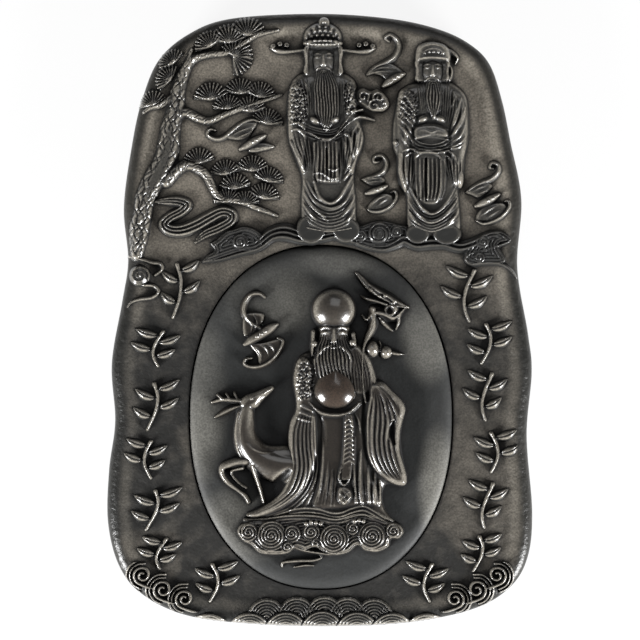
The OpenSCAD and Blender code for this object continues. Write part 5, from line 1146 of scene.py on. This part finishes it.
elder.fold([(5.8, -3.6, 0.7, 0.5), (5.8, -7, 0.9, 1.0), (5.8, -8.9, 1.5, 1.5), (5.8, -9.8, 0.6, 0.4)])
elder.folds([[(3.8, -11), (5.8, -11.4), (7.8, -11)]], 0.55, 0.5)
elder.pair(5.8, [(0.6, -10.2), (3.4, -11.2), (6.2, -14), (7.4, -17)], 0.7, 0.8, 0.4)
elder.beads([(-2.2, -9.8), (13.2, -9.4)], 1.3, 1.4, 5.2)
elder.dome(5.8, 4.2, 9.6, 9.2, 8.6, steep=3.2)
lid_carved_stone = stone(
    "lid_carved_stone", (0.024, 0.020, 0.0165), (0.036, 0.029, 0.023), 0.3, 0.2, 0.66)
elder.piece("elder_figure_carved", "elder_figure", lid_carved_stone)

# Peach: a fruit that the elder holds, round below and drawn up to a soft point. It is carved
# from the lid with the figure and has the brightest polish on it.
peach = Carving(-6, 19, -41, -15, 0.3, "lid")
part, depth = peach.edge([(6.5, -17.6), (10.4, -19.6), (14, -23), (16.2, -28), (15.6, -33), (12, -37),
                          (6.3, -38.4), (0.6, -37), (-3, -33), (-3.8, -28), (-1.4, -23), (2.4, -19.6)])
share = np.clip(depth / 9.6, -1, 1)
peach.set_over(part, 8.8 * np.minimum(np.sqrt(1 - (1 - np.clip(share, 0, 1)) ** 2), share * 5))
peach_stone = stone("polished_stone", (0.034, 0.024, 0.018), (0.05, 0.036, 0.027), 0.24, 0.08, 0.3)
peach.piece("peach_carved", "peach", peach_stone)

# Staff: a gnarled stick, carved from the lid, with a head like a beast's, a gourd tied below it,
# and its shaft behind the hand.
staff = Carving(13, 39, -37, 22, 0.32, "lid")
staff.line([(22.4, 4, 2.6, 4.2), (22, -2, 2.2, 4.4), (20, -7, 1.8, 4.8), (18, -12, 1.3, 5.6),
            (17.6, -18, 1.2, 6.1), (17.8, -26, 1.1, 6.4), (19, -34, 0.9, 6.5)], 2, 2, 0.12)
staff.line([(15, 19.6, 0.7, 1.8), (17, 17.4, 1.4, 2.6), (19.6, 14.4, 1.9, 3.4), (23.6, 11.4, 2.7, 4.0),
            (28, 8.8, 3.0, 4.6), (32, 6.6, 2.5, 4.2), (36.6, 5.2, 0.7, 2.4)], 2, 3, 0.25)
staff.line([(17, 10, 0.5, 1.8), (19.6, 8.8, 1.1, 3.0), (23, 8, 1.4, 3.8), (27.6, 6.4, 1.5, 4.6)],
           2, 2, 0.24)
staff.line([(17.4, 2.2, 0.5, 2.0), (19.6, 0.2, 1.1, 3.0), (22.6, 2.8, 2.6, 4.2), (26, 2.6, 2.8, 4.4),
            (30.6, 1, 2.2, 4.0), (33.6, 3.4, 1.2, 3.4), (35.4, 5.2, 0.5, 2.4)], 2, 2, 0.24)
staff.line([(24.6, 1, 1.2, 3.8), (27, -1.8, 1.2, 3.4), (30, -4.4, 0.5, 2.2)], 2)
staff.line([(32.4, 3, 1.1, 3.4), (32.6, -0.6, 0.9, 3.0), (31.4, -4, 0.4, 2.0)], 2)
staff.dome(29.4, 4, 3.8, 3.2, 5.2, 30)
staff.studs([(29, 4)], 1.9, -2.4)
staff.studs([(24.6, 9.6), (30.6, 7.4), (22, 5), (26, -0.4), (27, 10), (21, 12.4), (33, 2), (24.4, 5.6)],
            1.0, 0.9)
staff.dome(21.4, -12, 3.8, 3.7, 5.6, steep=4)
staff.dome(27.2, -13.4, 2.9, 2.8, 4.6, steep=4)
staff.line([(29.4, -13.4, 1.0, 3.0), (32, -14, 0.8, 2.4), (34.8, -14.2, 0.3, 1.4)])
staff.line([(24.6, -9, 0.5, 3.6), (25.2, -11, 0.5, 4.0), (24.6, -13, 0.5, 4.0)])
staff.piece("staff_carved", "staff", lid_carved_stone)

# Deer: carved from the lid in smooth, rounded relief, kneeling at the left with one foreleg
# raised, its branched antlers laid back.
deer = Carving(-47, -3, -78, -25, 0.34, "lid")
deer.form([(-33.6, -36), (-35.2, -41), (-35.8, -48), (-35, -54), (-32.6, -59), (-28.6, -62.4), (-23, -64),
           (-17, -67), (-10, -69), (-5, -66), (-5, -54), (-12, -51.6), (-20, -51.6), (-24.6, -49.6),
           (-26.4, -46), (-26.8, -41), (-27.6, -37)], 4.8, 5.5)
deer.line([(-29.6, -34, 3.0, 5.0), (-30.8, -40, 4.0, 5.3), (-31.2, -46, 4.8, 5.6), (-29.6, -52, 5.8, 5.9),
           (-25, -57, 6.8, 6.1), (-18, -60, 7.6, 6.2), (-10, -60.6, 7, 5.8)], 2.6)
deer.form([(-33.4, -33.4), (-31, -31), (-27, -29.6), (-23, -28), (-19.8, -27), (-18.8, -28.6), (-21, -31),
           (-23.6, -33.6), (-26, -36.4), (-30, -37.6), (-33, -36.4)], 5.0, 2.6)
deer.folds([[(-33.6, -38), (-34.8, -44), (-34.8, -50), (-33.4, -55), (-31, -58.6)]], 0.7, 0.8, 0.5)
deer.folds([[(-32, -39), (-32.8, -44), (-32.6, -49)], [(-30.4, -50.6), (-27.6, -53), (-23.6, -54.6),
                                                       (-19, -54.6)]], 0.5, 0.4)
deer.line([(-30, -58, 3.0, 5.0), (-36, -59.2, 2.4, 4.6), (-40, -60.8, 1.9, 4.2), (-40.2, -63.8, 1.5, 3.8),
           (-38, -67, 1.4, 3.6), (-33.6, -70.4, 1.0, 3.2), (-31, -72.6, 1.1, 3.2),
           (-29.4, -75.2, 1.2, 2.8)], 2.2)
deer.line([(-32, -61, 1.2, 4.4), (-36.6, -62.6, 0.9, 3.8), (-34.4, -66.6, 0.7, 3.2),
           (-30.6, -69.4, 0.7, 3.0)], 2)
deer.line([(-27.6, -60, 1.9, 5.0), (-26, -65.6, 1.2, 4.0), (-24.6, -70, 1.0, 3.4), (-23, -75.4, 1.1, 2.8)],
          2.2)
deer.line([(-31.6, -33.6, 1.4, 4.2), (-35.6, -33.2, 1.4, 3.6), (-40, -32.8, 1.2, 2.8),
           (-44.6, -34, 0.7, 1.8)])
for tip, root in [((-35.4, -30.2), (-34, -33)), ((-38.8, -30.6), (-37, -33)),
                  ((-42.2, -31), (-40.2, -32.8))]:
    deer.line([(*root, 1.2, 3.4), (*tip, 0.8, 2.6)])
deer.line([(-32, -35.2, 1.4, 4.4), (-36.4, -36.6, 1.8, 3.6), (-40, -38.4, 1.5, 2.6),
           (-43.4, -40.2, 0.6, 1.6)], 2, 2, 0.3)
deer.beads([(-28, -32.4)], 0.8, 0.9, 4.6)
deer.folds([[(-21.8, -30.8), (-23.6, -31.6), (-25.6, -33.4)]], 0.4, -0.6)
deer.studs([(-20.6, -28.4)], 0.5, -0.5)
deer.fold([(-13, -62.6, 1.8, -1.4), (-16, -66, 2.6, -2.8), (-19.6, -70, 1.6, -1.8)])
deer.piece("deer_carved", "deer", lid_carved_stone)

# Bat on the lid: the same kind as on the slab but larger, carved from the lid at its upper
# left.
lid_bat = Carving(-36, -12, -22, 14, 0.3, "lid")
bat(lid_bat, [[(-22.8, 9.4, 0.6), (-25, 11, 0.9), (-28.6, 10.4, 1.1), (-31, 7, 1.3), (-31.4, 3.4, 1.4),
               (-29.6, 0, 1.6), (-27, -2, 1.5), (-24.4, -3.4, 1.0)],
              [(-28, -15.8, 0.5), (-30.4, -16.2, 0.8), (-31, -18.2, 0.9), (-27.6, -19.4, 1.0),
               (-23.4, -18.6, 1.1), (-19.4, -16, 1.2), (-16.4, -12, 1.1), (-15.4, -8.6, 0.8),
               (-17.6, -7.4, 0.5)]], [[(-31.4, 2), (-28.6, 3.2), (-23.4, 2.8), (-23, 0), (-24.6, -3),
                                       (-27, -5), (-31, -7), (-32, -3)],
                                      [(-29, -10), (-23, -9), (-17, -7.6), (-15.6, -9), (-17, -13),
                                       (-20.6, -16.6), (-25, -18.8), (-26, -14.6)]],
    [[(-30, 1), (-28, -2), (-28.4, -5)], [(-27.4, 2), (-26, -1), (-26.6, -4)],
     [(-25, -10.4), (-22, -12), (-21, -15)], [(-22, -9.8), (-19.4, -11.4), (-18.6, -13.6)],
     [(-27, -11), (-24.6, -13.6), (-24.4, -17)]], [(-31, -10, 0.8), (-28, -8, 2.0), (-24.4, -5.8, 2.1),
                                                   (-20.4, -3.4, 1.9), (-17.6, -1.8, 0.7)], 2.3)
lid_bat.piece("lid_bat_carved", "lid_bat", lid_carved_stone)

# Clouds at the elder's feet: a bank of curled heads under a drifting top, with a thin curl
# below.
mass = Carving(-37, 38, -104, -76, 0.32, "lid")
mass.line([(-31, -82.6, 0.9, 2.6), (-22, -82.6, 1.9, 3.6), (-12, -81.4, 2.1, 4.2), (-2, -81.6, 2.2, 4.4),
           (7, -83, 2.2, 4.4), (16, -80.8, 2.2, 4.4), (24, -82.4, 2.0, 4.0), (30, -85.6, 1.5, 3.4),
           (34, -88, 0.8, 2.4)], 6, 3, 0.16)
mass.swirls([(-34.5, -88), (-33.4, -84.6), (-29.6, -82.6), (-24, -82), (-14, -81.6), (-6, -80.4), (4, -82),
             (12, -81.4), (20, -79.8), (27, -82), (33, -84), (35, -87.4), (33, -90.6), (29.6, -91),
             (28.6, -94), (24, -96.2), (18.6, -95.6), (15.6, -93.6), (12, -96.4), (6.4, -97.6), (1, -96.2),
             (-2, -94.4), (-6, -95.6), (-9.6, -94.6), (-13, -96.8), (-19, -97.4), (-25, -96.6),
             (-28.6, -93.4), (-32, -91.6)], 4.0, [(-29.4, -87.4, 4.2), (-20, -88.8, 6.4), (-11.6, -88, 3.8),
                                                  (-3.6, -87.4, 3.8), (5.8, -90.2, 6.2), (13.6, -86, 3.2),
                                                  (21.6, -89, 5.8), (30.4, -87, 3.6), (-1.6, -92, 2.2),
                                                  (-13.4, -93.6, 2.6)], 1.3, 0.75)
mass.dome(-20, -88.8, 1.6, 1.6, 5.4)
mass.dome(5.8, -90.2, 1.6, 1.6, 5.4)
mass.dome(21.6, -89, 1.6, 1.6, 5.4)
mass.line([(-26, -93.4, 0.6, 2.4), (-22, -95.8, 1.2, 2.9), (-16, -95.6, 1.3, 3.0), (-11, -94, 1.3, 3.0),
           (-6, -95.2, 1.2, 2.9), (0, -96.2, 1.2, 2.8), (6, -96.6, 1.1, 2.7), (13, -93.8, 0.7, 2.4)],
          2, 2, 0.24)
mass.line([(-15.6, -102, 0.5, 1.6), (-15, -100.2, 0.7, 1.9), (-9, -99.6, 0.8, 2.0), (-3, -99.4, 0.8, 2.0),
           (0.6, -98.2, 0.6, 1.8), (-0.6, -96.6, 0.4, 1.6)], 2)
mass.line([(-10.6, -102.2, 0.4, 1.4), (-6, -101.4, 0.6, 1.7), (-2.6, -101.6, 0.4, 1.4)], 2)
mass.beads([(-5.6, -84), (-3.6, -83.4), (-1.6, -83.6), (0.4, -84), (14.4, -83), (16.2, -82.6), (18, -83)],
           1.0, 1.2, 4.0)
mass.piece("lid_clouds_carved", "lid_clouds", lid_carved_stone)

# Floor: a plain white sheet that shows as white paper and keeps a faint shadow.
floor_half = 6.0
floor_points = floor_half * np.array([(-1, -1, 0), (1, -1, 0), (1, 1, 0), (-1, 1, 0)])
floor = mesh_piece("floor", floor_points, np.arange(4), np.array([0]))
paper = Finish("white_paper")
rays = paper.node("ShaderNodeLightPath").socket.node.outputs
seen_by = ("Is Camera Ray", "Is Glossy Ray", "Is Transmission Ray")
direct = sum(Value(paper, rays[kind]) for kind in seen_by)
matt = paper.node("ShaderNodeBsdfDiffuse", None, {0: (0.8, 0.8, 0.8, 1)})
glow = paper.node("ShaderNodeEmission", None, {0: (1, 1, 1, 1), 1: 1.0})
glow_share = direct.math("MINIMUM", direct, 1.0) * 0.88
sheet = paper.node("ShaderNodeMixShader", None, {0: glow_share, 1: matt, 2: glow})
paper.node("ShaderNodeOutputMaterial", None, {0: sheet})
floor.data.materials.append(paper.material)

# Studio light: two low soft boxes at the lower left and lower right, a weak soft fill above,
# and a dim even surround.
for name, place, power, size in [("soft_box_left", (-0.55, -0.42, 0.22), 15.0, (0.26, 0.3)),
                                 ("soft_box_right", (0.55, -0.42, 0.22), 15.0, (0.26, 0.3)),
                                 ("soft_fill", (0.1, 0.6, 0.8), 2.5, (0.7, 0.7))]:
    lamp = bpy.data.lights.new(name, "AREA")
    lamp.shape = "RECTANGLE"
    lamp.size, lamp.size_y = size
    lamp.energy = power
    holder = bpy.data.objects.new(name, lamp)
    holder.location = place
    aim = -np.array(place) / np.linalg.norm(place)
    holder.rotation_mode = "QUATERNION"
    holder.rotation_quaternion = Vector(aim).to_track_quat("-Z", "Y")
    bpy.context.scene.collection.objects.link(holder)
world = bpy.data.worlds.new("studio")
world.use_nodes = True
surround = world.node_tree.nodes["Background"]
surround.inputs["Color"].default_value = (0.1, 0.1, 0.104, 1)
surround.inputs["Strength"].default_value = 1.0
bpy.context.scene.world = world

# Camera: straight above, so that 255 mm at the height of the carving spans 613 of the
# picture's 640 points.
lens = bpy.data.cameras.new("camera")
lens.lens, lens.sensor_width = 135, 36
camera = bpy.data.objects.new("camera", lens)
seen_width, carving_height = 0.255 * 640 / 613, 0.0232
camera.location = (0.0001, 0.0, carving_height + seen_width * lens.lens / lens.sensor_width)
bpy.context.scene.collection.objects.link(camera)
bpy.context.scene.camera = camera
bpy.context.scene.view_settings.view_transform = "Standard"
